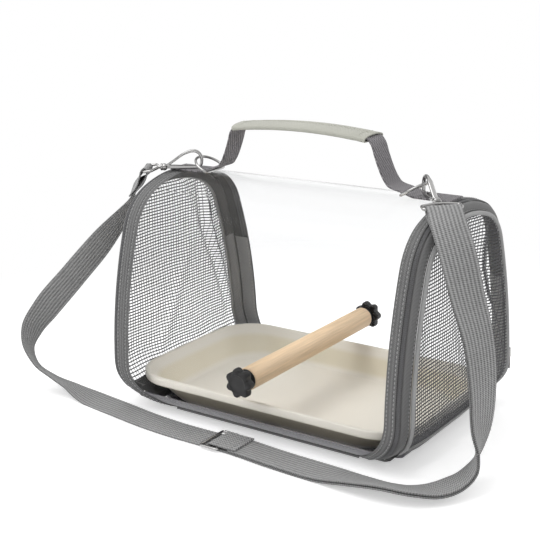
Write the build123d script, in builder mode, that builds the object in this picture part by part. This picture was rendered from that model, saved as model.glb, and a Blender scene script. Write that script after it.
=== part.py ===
from build123d import *
import os
from math import atan2, cos, degrees, radians, sin, sqrt

# Bird travel carrier: a clear walled cabin on a stiff base, two arched ends with mesh doors,
# a tray, a wooden perch, a carrying handle and a clip-on shoulder strap.
# X runs along the cabin, Y from its front (-Y) to its back (+Y), Z up from the table.
# Millimetres. The origin is on the table, under the middle of the base.

# ---- driving dimensions: cabin ----
body_length = 330.0        # over the faces of the two end doors
body_width = 211.0         # where the arch is widest
body_height = 220.0        # table to the top of the arch
widest_z = 32.0            # height at which the arch is widest
side_radius = 440.0        # long gentle curve of each side
shoulder_radius = 55.0     # between side and crown
crown_radius = 132.0       # over the top
bottom_radius = 40.0       # between side and floor
end_tuck = 29.0            # how far each end curls in under itself at the table
end_tuck_z = 50.0          # height where that curl starts

# ---- driving dimensions: fabric parts ----
film_thickness = 0.8       # clear sheet
band_thickness = 1.2       # fabric band round each arch
band_width = 20.0
band_setback = 12.0        # band edge to the face of the door
film_tuck = 13.0           # clear sheet held inside the band
layer_gap = 0.15           # between stacked fabric layers
tape_thickness = 0.8       # zip tape
tape_width = 4.0
seam_gap = 0.25            # between pieces sewn edge to edge
rest_gap = 0.05            # under a piece that rests on another
tub_height = 20.0          # fabric side of the base
tub_thickness = 1.2
board_thickness = 3.0      # stiff board in the base
board_corner = 26.0
edge_cord_diameter = 2.4   # piping along the base's lower edges
edge_cord_angle = 25.0     # where that piping sits on the bottom radius
hinge_z = 12.0             # sewn edge that each door folds on
door_inset = 2.45          # door edge, in from the arch outline
mesh_inset = 14.0          # mesh edge, in from the arch outline
piping_size = 4.0          # piping round the mesh
mesh_thickness = 1.0

# ---- driving dimensions: tray and perch ----
tray_end_gap = 12.0        # rim to the face of each door
tray_side_gap = 13.5       # rim to the widest part of the arch
tray_height = 29.0
tray_draft_x = 23.0        # how far in each tray wall leans, over its height
tray_draft_y = 16.0
tray_wall = 1.8
tray_corner = 40.0
tray_lip = 3.0
tray_skirt = 8.0           # the rim is turned down by this much
perch_z = 60.0
perch_diameter = 21.0
washer_thickness = 1.0
stud_diameter = 5.0
stud_length = 12.0         # held inside the dowel
stud_play = 0.16           # on the diameter, where the stud turns or a knob turns on it
knob_diameter = 28.0
knob_thickness = 9.0
knob_hub_diameter = 13.0
knob_hub_length = 3.0
knob_lobes = 7
knob_notch_diameter = 7.5

# ---- driving dimensions: handle ----
handle_webbing_width = 25.0
handle_webbing_thickness = 1.8
grip_length = 144.0
grip_top_z = 276.0
grip_drop = 4.5            # grip ends sit this much below its middle
grip_width = 31.0
grip_thickness = 6.0
grip_wall = 1.2
tab_ring_gap = 9.0         # the ring's bar to the inner end of each handle tab
tab_rise = 6.2             # the tab lifts this much towards the handle
tab_sewn_gap = 12.0        # from the ring's bar outwards it is sewn flat from here
leg_bulge = 7.0            # how far the standing webbing bows out

# ---- driving dimensions: metal parts ----
ring_wire = 2.6
ring_clearance = 0.7       # between the ring's bar and the top of the arch
ring_width = 31.0          # between the middles of the ring's two sides
ring_reach = 22.0
ring_setback = 59.0        # ring's bar to the face of the door
ring_lift = 30.0           # degrees the ring stands up from the tab
ring_touch_y = -3.5        # where along its bow each ring carries its hook
swivel_rise = 3.9          # swivels over the top of the arch
left_swivel_x = 8.0        # swivel to the face of the door
left_swivel_y = -22.0
right_swivel_x = 14.5
right_swivel_y = -29.0
hook_wire = 3.2
hook_span = 41.0           # swivel to the middle of the hook's bow
hook_rise = 15.6           # height of the hook's back over its gate
gate_length = 29.0         # pivot to free end
gate_sheet = 0.8           # the gate is folded from sheet
gate_height = 3.0
rivet_diameter = 2.4
rivet_u = 8.5              # rivet, along and above the line of the swivel
rivet_v = 1.6
neck_diameter = 4.0
turning_play = 0.16        # on the diameter of every metal pivot
swivel_diameter = 7.0
swivel_length = 6.0
swivel_bore_depth = 4.5
swivel_pin_diameter = 3.6
eye_wire = 2.8
eye_width = 33.0
eye_neck = 8.0
eye_near = 2.4
eye_shoulder = 6.5
eye_reach = 14.0
eye_fillet = 2.0
eye_droop = 7.0            # degrees the eye hangs below the line of the swivel

# ---- driving dimensions: shoulder strap ----
strap_width = 30.0
strap_thickness = 1.6
strap_layer_gap = 0.8
strap_floor_gap = 0.2      # lies this near the table
slider_x = -19.5           # middle bar of the slider
strap_front_y = -118.5
slider_wall = 3.0
slider_bar = 2.4
slider_length = 21.0
slider_thickness = 2.4
slider_side_play = 0.8
slider_travel = 8.0
fold_length = 31.0         # sewn end of the strap, over the slider's middle bar

# ---- driving dimensions: zip sliders ----
slider_angle = 2.5         # degrees up the side curve where a closed zip's slider waits
runner_length = 9.0
runner_width = 7.0
runner_thickness = 2.6
pull_length = 18.0
pull_width = 5.0
pull_thickness = 1.0
pull_pin_diameter = 1.2
bridge_width = 2.4
bridge_length = 5.0
bridge_height = 2.0

os.makedirs("parts", exist_ok=True)

# ---- the arch outline: four kinds of arc that meet smoothly ----
half_width = body_width / 2
side_centre = (half_width - side_radius, widest_z)
crown_centre = (0.0, body_height - crown_radius)
corner_y = side_centre[0] + sqrt(
    (side_radius - bottom_radius) ** 2 - (bottom_radius - widest_z) ** 2
)
corner_centre = (corner_y, bottom_radius)


def shoulder_centre():
    """Where a circle of the shoulder's radius touches the side curve and the crown from inside."""
    reach_side = side_radius - shoulder_radius
    reach_crown = crown_radius - shoulder_radius
    dy = crown_centre[0] - side_centre[0]
    dz = crown_centre[1] - side_centre[1]
    span = sqrt(dy**2 + dz**2)
    along = (reach_side**2 - reach_crown**2 + span**2) / (2 * span)
    across = sqrt(reach_side**2 - along**2)
    return (
        side_centre[0] + (along * dy - across * dz) / span,
        side_centre[1] + (along * dz + across * dy) / span,
    )


shoulder = shoulder_centre()
corner_angle = degrees(
    atan2(corner_centre[1] - side_centre[1], corner_centre[0] - side_centre[0])
)
side_angle = degrees(atan2(shoulder[1] - side_centre[1], shoulder[0] - side_centre[0]))
crown_angle = degrees(
    atan2(shoulder[1] - crown_centre[1], shoulder[0] - crown_centre[0])
)


def outline_y(z, inset):
    """Half depth of the arch at height z, in from its outside by inset."""
    if z < corner_centre[1]:
        radius = bottom_radius - inset
        return corner_centre[0] + sqrt(radius**2 - (corner_centre[1] - z) ** 2)
    radius = side_radius - inset
    return side_centre[0] + sqrt(radius**2 - (z - side_centre[1]) ** 2)


def arch_face(inset):
    """The whole arch outline, in from its outside by inset, on the plane across the carrier."""
    with BuildSketch(Plane.YZ) as face:
        with BuildLine():
            Line((0, inset), (corner_centre[0], inset))
            CenterArc(corner_centre, bottom_radius - inset, -90, 90 + corner_angle)
            CenterArc(side_centre, side_radius - inset, corner_angle, side_angle - corner_angle)
            CenterArc(shoulder, shoulder_radius - inset, side_angle, crown_angle - side_angle)
            CenterArc(crown_centre, crown_radius - inset, crown_angle, 90 - crown_angle)
            Line((0, body_height - inset), (0, inset))
        make_face()
        mirror(about=Plane.YZ)
    return face.sketch


def end_x(z, setback):
    """How far out an end's curl stands at height z, back from the door's face by setback."""
    curl = max(0.0, 1 - z / end_tuck_z)
    return body_length / 2 - setback - end_tuck * curl**2


def end_strip(side, outer, inner, top, bottom):
    """Side view of a strip along one end's curl, between two setbacks and two heights."""
    low = min(end_tuck_z, top)
    middle = (low + bottom) / 2
    with BuildSketch(Plane.XZ) as face:
        with BuildLine():
            for setback in (outer, inner):
                ThreePointArc(
                    (side * end_x(bottom, setback), bottom),
                    (side * end_x(middle, setback), middle),
                    (side * end_x(low, setback), low),
                )
                if top > low:
                    Line(
                        (side * end_x(low, setback), low),
                        (side * end_x(top, setback), top),
                    )
            Line((side * end_x(top, outer), top), (side * end_x(top, inner), top))
            Line((side * end_x(bottom, outer), bottom), (side * end_x(bottom, inner), bottom))
        make_face()
    return face.sketch


def side_view(setback, top, bottom):
    """Side view of everything between the two ends' curls, from one height to another."""
    low = min(end_tuck_z, top)
    middle = (low + bottom) / 2
    with BuildSketch(Plane.XZ) as face:
        with BuildLine():
            for side in (1, -1):
                ThreePointArc(
                    (side * end_x(bottom, setback), bottom),
                    (side * end_x(middle, setback), middle),
                    (side * end_x(low, setback), low),
                )
                if top > low:
                    Line((side * end_x(low, setback), low), (side * end_x(top, setback), top))
            Line((-end_x(top, setback), top), (end_x(top, setback), top))
            Line((-end_x(bottom, setback), bottom), (end_x(bottom, setback), bottom))
        make_face()
    return face.sketch


above = body_height + 10.0
beyond = body_width


def finish(piece, name, colour):
    """Label a finished piece, colour it and write it to its own file."""
    piece.part.label = name
    piece.part.color = Color(*colour)
    export_step(piece.part, f"parts/{name}.step")


grey = (0.43, 0.43, 0.43)
light_grey = (0.6, 0.6, 0.6)
clear = (0.85, 0.9, 0.95, 0.3)
cream = (0.86, 0.84, 0.79)
steel = (0.75, 0.75, 0.77)
black = (0.14, 0.13, 0.14)
wood = (0.84, 0.72, 0.55)

# ---- base ----
tub_outer = band_thickness + layer_gap
tub_inner = tub_outer + tub_thickness
board_top = tub_inner + layer_gap + board_thickness
floor_end = end_x(0, seam_gap + tub_thickness)

with BuildPart() as base_tub:
    extrude(arch_face(tub_outer), amount=body_length / 2, both=True)
    extrude(arch_face(tub_inner), amount=body_length / 2, both=True, mode=Mode.SUBTRACT)
    extrude(side_view(band_setback, tub_height, 0.2), amount=beyond, both=True, mode=Mode.INTERSECT)
    with BuildSketch(Plane.XY):
        Rectangle(2 * floor_end, 2 * corner_centre[0])
    extrude(amount=tub_inner)
finish(base_tub, "base_tub", grey)

with BuildPart() as base_board:
    with BuildSketch(Plane.XY.offset(tub_inner + layer_gap)):
        RectangleRounded(2 * (floor_end - seam_gap), 2 * corner_centre[0], board_corner)
    extrude(amount=board_thickness)
finish(base_board, "base_board", black)

cord_y = corner_centre[0] + bottom_radius * sin(radians(edge_cord_angle))
cord_z = corner_centre[1] - bottom_radius * cos(radians(edge_cord_angle))
cord_end = end_x(cord_z, band_setback + band_width) - seam_gap

for side, name in ((-1, "front_edge_piping"), (1, "rear_edge_piping")):
    with BuildPart() as edge_piping:
        with BuildSketch(Plane.YZ):
            with Locations((side * cord_y, cord_z)):
                Circle(edge_cord_diameter / 2)
        extrude(amount=cord_end, both=True)
    finish(edge_piping, name, light_grey)

# ---- clear sheet over front, top and back ----
film_outer = band_thickness + layer_gap
film_inner = film_outer + film_thickness
film_setback = band_setback + band_width - film_tuck
film_bottom = tub_height + seam_gap
perch_wall = outline_y(perch_z, film_inner)

with BuildPart() as clear_sheet:
    extrude(arch_face(film_outer), amount=body_length / 2, both=True)
    extrude(arch_face(film_inner), amount=body_length / 2, both=True, mode=Mode.SUBTRACT)
    extrude(side_view(film_setback, above, film_bottom), amount=beyond, both=True, mode=Mode.INTERSECT)
    with BuildSketch(Plane.XZ):
        with Locations((0, perch_z)):
            Circle((stud_diameter + stud_play) / 2)
    extrude(amount=beyond, both=True, mode=Mode.SUBTRACT)
finish(clear_sheet, "clear_sheet", clear)

# ---- arched ends: band, zip and door, the same at both ends ----
tape_outer = film_outer
tape_inner = tape_outer + tape_thickness
tape_setback = band_setback - tape_width
ring_outer = door_inset
ring_inner = mesh_inset - piping_size - seam_gap
door_low = hinge_z + seam_gap

for side, end in ((-1, "left"), (1, "right")):
    with BuildPart() as arch_band:
        extrude(arch_face(0), amount=side * body_length / 2)
        extrude(arch_face(band_thickness), amount=side * body_length / 2, mode=Mode.SUBTRACT)
        strip = end_strip(side, band_setback, band_setback + band_width, above, band_thickness)
        extrude(strip, amount=beyond, both=True, mode=Mode.INTERSECT)
    finish(arch_band, f"{end}_arch_band", grey)

    with BuildPart() as zip_tape:
        extrude(arch_face(tape_outer), amount=side * body_length / 2)
        extrude(arch_face(tape_inner), amount=side * body_length / 2, mode=Mode.SUBTRACT)
        strip = end_strip(side, tape_setback, film_setback - seam_gap, above, film_bottom)
        extrude(strip, amount=beyond, both=True, mode=Mode.INTERSECT)
    finish(zip_tape, f"{end}_zip_tape", grey)

    with BuildPart() as sill:
        extrude(arch_face(door_inset), amount=side * body_length / 2)
        strip = end_strip(side, seam_gap, seam_gap + tub_thickness, hinge_z - seam_gap, 0.2)
        extrude(strip, amount=beyond, both=True, mode=Mode.INTERSECT)
    finish(sill, f"{end}_sill", grey)

    with BuildPart() as door_gusset:
        extrude(arch_face(ring_outer), amount=side * body_length / 2)
        extrude(arch_face(ring_inner), amount=side * body_length / 2, mode=Mode.SUBTRACT)
        strip = end_strip(side, piping_size, tape_setback - seam_gap, above, door_low)
        extrude(strip, amount=beyond, both=True, mode=Mode.INTERSECT)
    finish(door_gusset, f"{end}_door_gusset", grey)

    with BuildPart() as door_piping:
        extrude(arch_face(mesh_inset - piping_size), amount=side * body_length / 2)
        extrude(arch_face(mesh_inset), amount=side * body_length / 2, mode=Mode.SUBTRACT)
        strip = end_strip(side, 0, piping_size, above, door_low)
        extrude(strip, amount=beyond, both=True, mode=Mode.INTERSECT)
    finish(door_piping, f"{end}_door_piping", light_grey)

    with BuildPart() as door_mesh:
        extrude(arch_face(mesh_inset + seam_gap), amount=side * body_length / 2)
        mesh_setback = (piping_size - mesh_thickness) / 2
        strip = end_strip(side, mesh_setback, mesh_setback + mesh_thickness, above, door_low)
        extrude(strip, amount=beyond, both=True, mode=Mode.INTERSECT)
    finish(door_mesh, f"{end}_door_mesh", light_grey)

# ---- tray ----
tray_length = body_length - 2 * tray_end_gap
tray_width = body_width - 2 * tray_side_gap
tray_floor_z = board_top + rest_gap
tray_rim_z = tray_floor_z + tray_height
tray_slope_x = tray_draft_x / tray_height
tray_slope_y = tray_draft_y / tray_height


def tray_section(z, inset):
    """Rounded outline of the tray at height z, in from its outer wall by inset."""
    down = tray_rim_z - z
    with BuildSketch(Plane.XY.offset(z)) as face:
        RectangleRounded(
            tray_length - 2 * tray_lip - 2 * (tray_slope_x * down + inset),
            tray_width - 2 * tray_lip - 2 * (tray_slope_y * down + inset),
            tray_corner - inset,
        )
    return face.sketch


with BuildPart() as tray:
    loft([tray_section(tray_floor_z, 0), tray_section(tray_rim_z, 0)])
    tray_inside_z = tray_floor_z + tray_wall
    hollow = [tray_section(tray_inside_z, tray_wall), tray_section(tray_rim_z, tray_wall)]
    loft(hollow, mode=Mode.SUBTRACT)
    with BuildSketch(Plane.XY.offset(tray_rim_z - tray_wall)):
        RectangleRounded(tray_length, tray_width, tray_corner + tray_lip)
        RectangleRounded(
            tray_length - 2 * (tray_lip + tray_wall),
            tray_width - 2 * (tray_lip + tray_wall),
            tray_corner - tray_wall,
            mode=Mode.SUBTRACT,
        )
    extrude(amount=tray_wall)
    with BuildSketch(Plane.XY.offset(tray_rim_z - tray_skirt)):
        RectangleRounded(tray_length, tray_width, tray_corner + tray_lip)
        RectangleRounded(
            tray_length - 2 * tray_wall,
            tray_width - 2 * tray_wall,
            tray_corner + tray_lip - tray_wall,
            mode=Mode.SUBTRACT,
        )
    extrude(amount=tray_skirt)
finish(tray, "tray", cream)

# ---- perch: dowel, washers, studs and two knobs ----
perch_top = perch_z + perch_diameter / 2
perch_end = outline_y(perch_top, film_inner) - layer_gap - washer_thickness
knob_face = outline_y(perch_z - knob_hub_diameter / 2, film_outer) + layer_gap
knob_back = knob_face + knob_hub_length
stud_end = knob_back + knob_thickness / 2


def perch_plane(y):
    """Plane across the perch at depth y, facing the back of the carrier."""
    return Plane(origin=(0, y, perch_z), x_dir=(1, 0, 0), z_dir=(0, 1, 0))


with BuildPart() as perch_dowel:
    with BuildSketch(perch_plane(-perch_end)):
        Circle(perch_diameter / 2)
    extrude(amount=2 * perch_end)
    for side in (-1, 1):
        with BuildSketch(perch_plane(side * perch_end)):
            Circle((stud_diameter + stud_play) / 2)
        extrude(amount=-side * (stud_length + layer_gap), mode=Mode.SUBTRACT)
finish(perch_dowel, "perch_dowel", wood)

for side, where in ((-1, "front"), (1, "rear")):
    with BuildPart() as perch_washer:
        with BuildSketch(perch_plane(side * (perch_end + rest_gap))):
            Circle(perch_diameter / 2 - washer_thickness)
            Circle((stud_diameter + stud_play) / 2, mode=Mode.SUBTRACT)
        extrude(amount=side * washer_thickness)
    finish(perch_washer, f"{where}_perch_washer", black)

    with BuildPart() as perch_stud:
        with BuildSketch(perch_plane(side * (perch_end - stud_length))):
            Circle(stud_diameter / 2)
        extrude(amount=side * (stud_end - perch_end + stud_length))
    finish(perch_stud, f"{where}_perch_stud", steel)

    with BuildPart() as knob:
        with BuildSketch(perch_plane(side * knob_back)):
            Circle(knob_diameter / 2)
            with PolarLocations(knob_diameter / 2 + knob_notch_diameter / 8, knob_lobes):
                Circle(knob_notch_diameter / 2, mode=Mode.SUBTRACT)
        extrude(amount=side * knob_thickness)
        with BuildSketch(perch_plane(side * knob_face)):
            Circle(knob_hub_diameter / 2)
        extrude(amount=side * knob_hub_length)
        with BuildSketch(perch_plane(side * knob_face)):
            Circle((stud_diameter + stud_play) / 2)
        extrude(amount=side * (stud_end + layer_gap - knob_face), mode=Mode.SUBTRACT)
    finish(knob, f"{where}_knob", black)

# ---- carrying handle ----
ring_bar_x = body_length / 2 - ring_setback
grip_radius = ((grip_length / 2) ** 2 + grip_drop**2) / (2 * grip_drop)
grip_centre_z = grip_top_z - grip_thickness / 2 - grip_radius
grip_angle = degrees(atan2(grip_length / 2, grip_radius - grip_drop))


def bowed_slab(thickness, half_angle):
    """Side view of a slab bowed like the grip, about the middle of the grip's thickness."""
    with BuildSketch(Plane.XZ) as face:
        with BuildLine():
            for radius in (grip_radius - thickness / 2, grip_radius + thickness / 2):
                CenterArc((0, grip_centre_z), radius, 90 - half_angle, 2 * half_angle)
            for angle in (90 - half_angle, 90 + half_angle):
                c, s = cos(radians(angle)), sin(radians(angle))
                near, far = grip_radius - thickness / 2, grip_radius + thickness / 2
                Line((near * c, grip_centre_z + near * s), (far * c, grip_centre_z + far * s))
        make_face()
    return face.sketch


sleeve_inside = grip_thickness - 2 * grip_wall

with BuildPart() as grip_cover:
    extrude(bowed_slab(grip_thickness, grip_angle), amount=grip_width / 2, both=True)
    inside = bowed_slab(sleeve_inside, grip_angle + 1)
    extrude(inside, amount=grip_width / 2 - grip_wall, both=True, mode=Mode.SUBTRACT)
finish(grip_cover, "grip_cover", light_grey)

with BuildPart() as grip_webbing:
    core = bowed_slab(sleeve_inside - 2 * layer_gap, grip_angle)
    extrude(core, amount=handle_webbing_width / 2, both=True)
finish(grip_webbing, "grip_webbing", grey)

tab_end_x = ring_bar_x - tab_ring_gap
tab_sewn_x = ring_bar_x + tab_sewn_gap
leg_top_x = grip_length / 2 + seam_gap + handle_webbing_thickness / 2
leg_top_z = grip_centre_z + grip_radius * cos(radians(grip_angle))
tab_flat_z = body_height + layer_gap
tab_end_z = tab_flat_z + tab_rise
tab_outer_x = end_x(end_tuck_z, band_setback)
leg_end_x = tab_end_x - seam_gap - handle_webbing_thickness / 2
leg_middle_x = (leg_top_x + leg_end_x) / 2 - leg_bulge / 4
leg_middle_z = (leg_top_z + tab_end_z) / 2 - leg_bulge / 4

for side, end in ((-1, "left"), (1, "right")):
    with BuildPart() as handle_leg:
        with BuildSketch(Plane.XZ):
            with BuildLine():
                ThreePointArc(
                    (side * leg_top_x, leg_top_z),
                    (side * leg_middle_x, leg_middle_z),
                    (side * leg_end_x, tab_end_z),
                )
            trace(line_width=handle_webbing_thickness)
        extrude(amount=handle_webbing_width / 2, both=True)
    finish(handle_leg, f"{end}_handle_leg", grey)

    with BuildPart() as handle_tab:
        with BuildSketch(Plane.XZ):
            with BuildLine():
                Polyline(
                    (side * tab_end_x, tab_end_z),
                    (side * tab_sewn_x, tab_flat_z),
                    (side * tab_outer_x, tab_flat_z),
                    (side * tab_outer_x, tab_flat_z + handle_webbing_thickness),
                    (side * tab_sewn_x, tab_flat_z + handle_webbing_thickness),
                    (side * tab_end_x, tab_end_z + handle_webbing_thickness),
                    close=True,
                )
            make_face()
        extrude(amount=handle_webbing_width / 2, both=True)
    finish(handle_tab, f"{end}_handle_tab", grey)

# ---- D rings under the handle tabs ----
ring_z = body_height + ring_wire / 2 + ring_clearance
ring_half = ring_width / 2
ring_corner = 4.0
ring_side = ring_reach - ring_half

for side, end in ((-1, "left"), (1, "right")):
    lean = (side * cos(radians(ring_lift)), 0, sin(radians(ring_lift)))
    ring_plane = Plane(
        origin=(side * ring_bar_x, 0, ring_z),
        x_dir=(0, 1, 0),
        z_dir=(-lean[2], 0, lean[0]),
    )
    turn = 1 if abs(ring_plane.y_dir.X - lean[0]) < 0.01 else -1
    with BuildPart() as d_ring:
        with BuildLine(ring_plane) as ring_path:
            Line((-ring_half + ring_corner, 0), (ring_half - ring_corner, 0))
            RadiusArc((ring_half - ring_corner, 0), (ring_half, turn * ring_corner), -turn * ring_corner)
            Line((ring_half, turn * ring_corner), (ring_half, turn * ring_side))
            ThreePointArc(
                (ring_half, turn * ring_side),
                (0, turn * ring_reach),
                (-ring_half, turn * ring_side),
            )
            Line((-ring_half, turn * ring_side), (-ring_half, turn * ring_corner))
            RadiusArc((-ring_half, turn * ring_corner), (-ring_half + ring_corner, 0), -turn * ring_corner)
        with BuildSketch(Plane(origin=ring_plane.origin, z_dir=(0, 1, 0))):
            Circle(ring_wire / 2)
        sweep(path=ring_path.wire())
    finish(d_ring, f"{end}_d_ring", steel)

# ---- snap hooks, their gates and the strap eyes ----
ring_touch_x = ring_bar_x + ring_reach * cos(radians(ring_lift))
rivet_half = hook_wire / 2 + turning_play + gate_sheet
swivel_z = body_height + swivel_rise
swivels = (
    (-1, "left", left_swivel_x, left_swivel_y),
    (1, "right", right_swivel_x, right_swivel_y),
)
eye_bars = {}

for side, end, swivel_x, swivel_y in swivels:
    swivel_point = Vector(side * (body_length / 2 - swivel_x), swivel_y, swivel_z)
    across = Vector(side * ring_touch_x, ring_touch_y, swivel_z) - swivel_point
    along = across.normalized()
    hook_plane = Plane(origin=swivel_point, x_dir=along, z_dir=along.cross(Vector(0, 0, 1)))

    with BuildPart() as hook_body:
        with BuildLine(hook_plane) as back:
            Spline(
                (swivel_length - 1.0, 0.3),
                (rivet_u + neck_diameter, 5.4),
                (hook_span * 0.64, hook_rise * 0.9),
                (hook_span * 0.86, hook_rise),
                (hook_span, hook_rise * 0.64),
                (hook_span, hook_rise * 0.25),
                (hook_span - hook_wire / 2, 0.6),
            )
        with BuildSketch(Plane(origin=back.line @ 0, z_dir=back.line % 0)):
            Circle(hook_wire / 2)
        sweep(path=back.line)
        neck_at = hook_plane.from_local_coords((rivet_u, rivet_v, 0))
        with BuildSketch(Plane(origin=neck_at, x_dir=along, z_dir=hook_plane.z_dir)):
            Circle(neck_diameter / 2)
        extrude(amount=hook_wire / 2, both=True)
        with BuildSketch(Plane(origin=neck_at, x_dir=along, z_dir=hook_plane.z_dir)):
            Circle(rivet_diameter / 2)
        extrude(amount=rivet_half + layer_gap, both=True)
        with BuildSketch(Plane(origin=swivel_point + along * seam_gap, z_dir=along)):
            Circle(swivel_diameter / 2)
        extrude(amount=swivel_length)
        with BuildSketch(Plane(origin=swivel_point + along * seam_gap, z_dir=along)):
            Circle((swivel_pin_diameter + turning_play) / 2)
        extrude(amount=swivel_bore_depth, mode=Mode.SUBTRACT)
    finish(hook_body, f"{end}_hook_body", steel)

    gate_low = rivet_v - neck_diameter / 2 - turning_play / 2 - gate_sheet
    with BuildPart() as hook_gate:
        with BuildSketch(hook_plane):
            with Locations((rivet_u - gate_height / 2, gate_low)):
                Rectangle(gate_length + gate_height / 2, gate_height, align=Align.MIN)
        extrude(amount=rivet_half, both=True)
        with BuildSketch(hook_plane):
            with Locations((rivet_u - gate_height, gate_low + gate_sheet)):
                Rectangle(gate_length + 2 * gate_height, gate_height, align=Align.MIN)
        extrude(amount=rivet_half - gate_sheet, both=True, mode=Mode.SUBTRACT)
        with BuildSketch(hook_plane):
            with Locations((rivet_u, rivet_v)):
                Circle((rivet_diameter + turning_play) / 2)
        extrude(amount=rivet_half, both=True, mode=Mode.SUBTRACT)
    finish(hook_gate, f"{end}_hook_gate", steel)

    sideways = Vector(0, 0, 1).cross(along)
    away = along * -cos(radians(eye_droop)) - Vector(0, 0, sin(radians(eye_droop)))
    eye_plane = Plane(origin=swivel_point, x_dir=sideways, z_dir=sideways.cross(away))
    with BuildPart() as strap_eye:
        with BuildLine(eye_plane) as loop:
            FilletPolyline(
                (-eye_neck / 2, eye_near),
                (eye_neck / 2, eye_near),
                (eye_width / 2, eye_shoulder),
                (eye_width / 2, eye_reach),
                (-eye_width / 2, eye_reach),
                (-eye_width / 2, eye_shoulder),
                radius=eye_fillet,
                close=True,
            )
        wire = loop.wire()
        with BuildSketch(Plane(origin=wire @ 0, z_dir=wire % 0)):
            Circle(eye_wire / 2)
        sweep(path=wire)
        with BuildSketch(Plane(origin=swivel_point - along * eye_near, z_dir=along)):
            Circle(swivel_pin_diameter / 2)
        extrude(amount=eye_near + swivel_bore_depth)
    finish(strap_eye, f"{end}_strap_eye", steel)
    bar_middle = swivel_point + away * eye_reach
    under_bar = bar_middle - Vector(0, 0, eye_wire / 2 + seam_gap)
    eye_bars[end] = [(under_bar - Vector(0, 0, drop), sideways * -side) for drop in (0, 2.0)]

# ---- shoulder strap: where its middle runs, and which way its width lies ----
single_z = strap_floor_gap + strap_thickness / 2
layer_step = (strap_thickness + strap_layer_gap) / 2
double_z = single_z + layer_step
slider_left = slider_x - slider_length / 2 - 4.0
layer_start = slider_x + slider_length / 2 + slider_travel + strap_thickness

left_fall = [
    *eye_bars["left"],
    ((-181, -37, 203), (-0.62, 0.76, -0.18)),
    ((-187, -45, 182), (-0.35, 0.8, -0.5)),
    ((-204, -62, 152), (0.05, 0.72, -0.69)),
    ((-230, -79, 117), (0.18, 0.67, -0.72)),
    ((-256, -96, 82), (0.2, 0.65, -0.73)),
    ((-266, -107, 62), (0.0, 0.83, -0.55)),
    ((-266, -114, 44), (-0.4, 0.83, -0.39)),
    ((-256, -115, 28), (-0.6, 0.74, -0.3)),
    ((-240, -109, 16), (-0.6, 0.75, -0.27)),
    ((-219, -103, 7), (-0.5, 0.85, -0.15)),
    ((-195, -104, single_z + 0.6), (-0.2, 0.98, 0.0)),
]
front_run = [
    left_fall[-1],
    ((-144, -111, single_z), (0.1, 1.0, 0.0)),
    ((-107, -116, single_z), (0.05, 1.0, 0.0)),
    ((-70, strap_front_y, single_z), (0.0, 1.0, 0.0)),
    ((slider_left, strap_front_y, single_z), (0.0, 1.0, 0.0)),
]
floor_pair = [
    ((slider_left, strap_front_y, double_z), (0.0, 1.0, 0.0)),
    ((layer_start, strap_front_y, double_z), (0.0, 1.0, 0.0)),
    ((45, -122, double_z), (0.0, 1.0, 0.0)),
    ((98, -124, double_z + 0.4), (0.0, 1.0, -0.02)),
    ((130, -127, 6.2), (-0.1, 0.97, -0.22)),
    ((158, -127, 8.6), (-0.25, 0.91, -0.33)),
]
loop_pair = [
    floor_pair[-1],
    ((178, -121, 7.8), (-0.55, 0.79, -0.25)),
    ((191, -110, 6.4), (-0.72, 0.67, -0.14)),
    ((202, -93, 8.8), (-0.8, 0.57, -0.17)),
    ((208, -79, 15), (-0.7, 0.62, -0.33)),
    ((210, -70, 25), (-0.43, 0.78, -0.44)),
    ((208.5, -61, 43), (0.02, 0.93, -0.35)),
]
right_rise = [
    loop_pair[-1],
    ((205, -51, 78), (0.32, 0.92, -0.24)),
    ((199, -50, 121), (0.45, 0.89, -0.05)),
    ((190, -51, 153), (0.57, 0.81, 0.1)),
    ((181, -56, 195), (0.75, 0.66, 0.0)),
    ((172, -51, 211), (0.72, 0.69, 0.0)),
    *reversed(eye_bars["right"]),
]


def strap_planes(course, step):
    """Planes square to the strap along its course, each moved off the middle by step."""
    points = [Vector(*point) if isinstance(point, tuple) else point for point, width in course]
    planes = []
    for i, (point, width) in enumerate(course):
        ahead = points[min(i + 1, len(points) - 1)]
        behind = points[max(i - 1, 0)]
        run = (ahead - behind).normalized()
        across_run = Vector(*width) if isinstance(width, tuple) else width
        off = run.cross(across_run).normalized()
        x_dir = off.cross(run)
        planes.append(Plane(origin=points[i] + off * step, x_dir=x_dir, z_dir=run))
    return planes


def make_strap(planes, name):
    """Webbing that runs through each plane in turn."""
    with BuildPart() as strap:
        for plane in planes:
            with BuildSketch(plane):
                Rectangle(strap_width, strap_thickness)
        loft(ruled=True)
    finish(strap, name, grey)


single = strap_planes(left_fall + front_run[1:], 0)
make_strap(single[: len(left_fall)], "strap_left_fall")
make_strap(single[len(left_fall) - 1 :], "strap_front_run")
lower = strap_planes(floor_pair + loop_pair[1:] + right_rise[1:], -layer_step)
upper = strap_planes(floor_pair + loop_pair[1:] + right_rise[1:], layer_step)
loop_from = len(floor_pair) - 1
rise_from = loop_from + len(loop_pair) - 1
for layer, planes, start in (("lower", lower, 0), ("upper", upper, 1)):
    make_strap(planes[start : loop_from + 1], f"strap_{layer}_floor")
    make_strap(planes[loop_from : rise_from + 1], f"strap_{layer}_loop")
    make_strap(planes[rise_from:], f"strap_{layer}_rise")

# ---- strap slider and the sewn end of the strap round its middle bar ----
slider_low = strap_floor_gap + strap_thickness + seam_gap
slider_top = slider_low + slider_thickness
slot_half = strap_width / 2 + slider_side_play
slot_length = (slider_length - 2 * slider_wall - slider_bar) / 2
slot_middle = (slider_bar + slot_length) / 2

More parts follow.
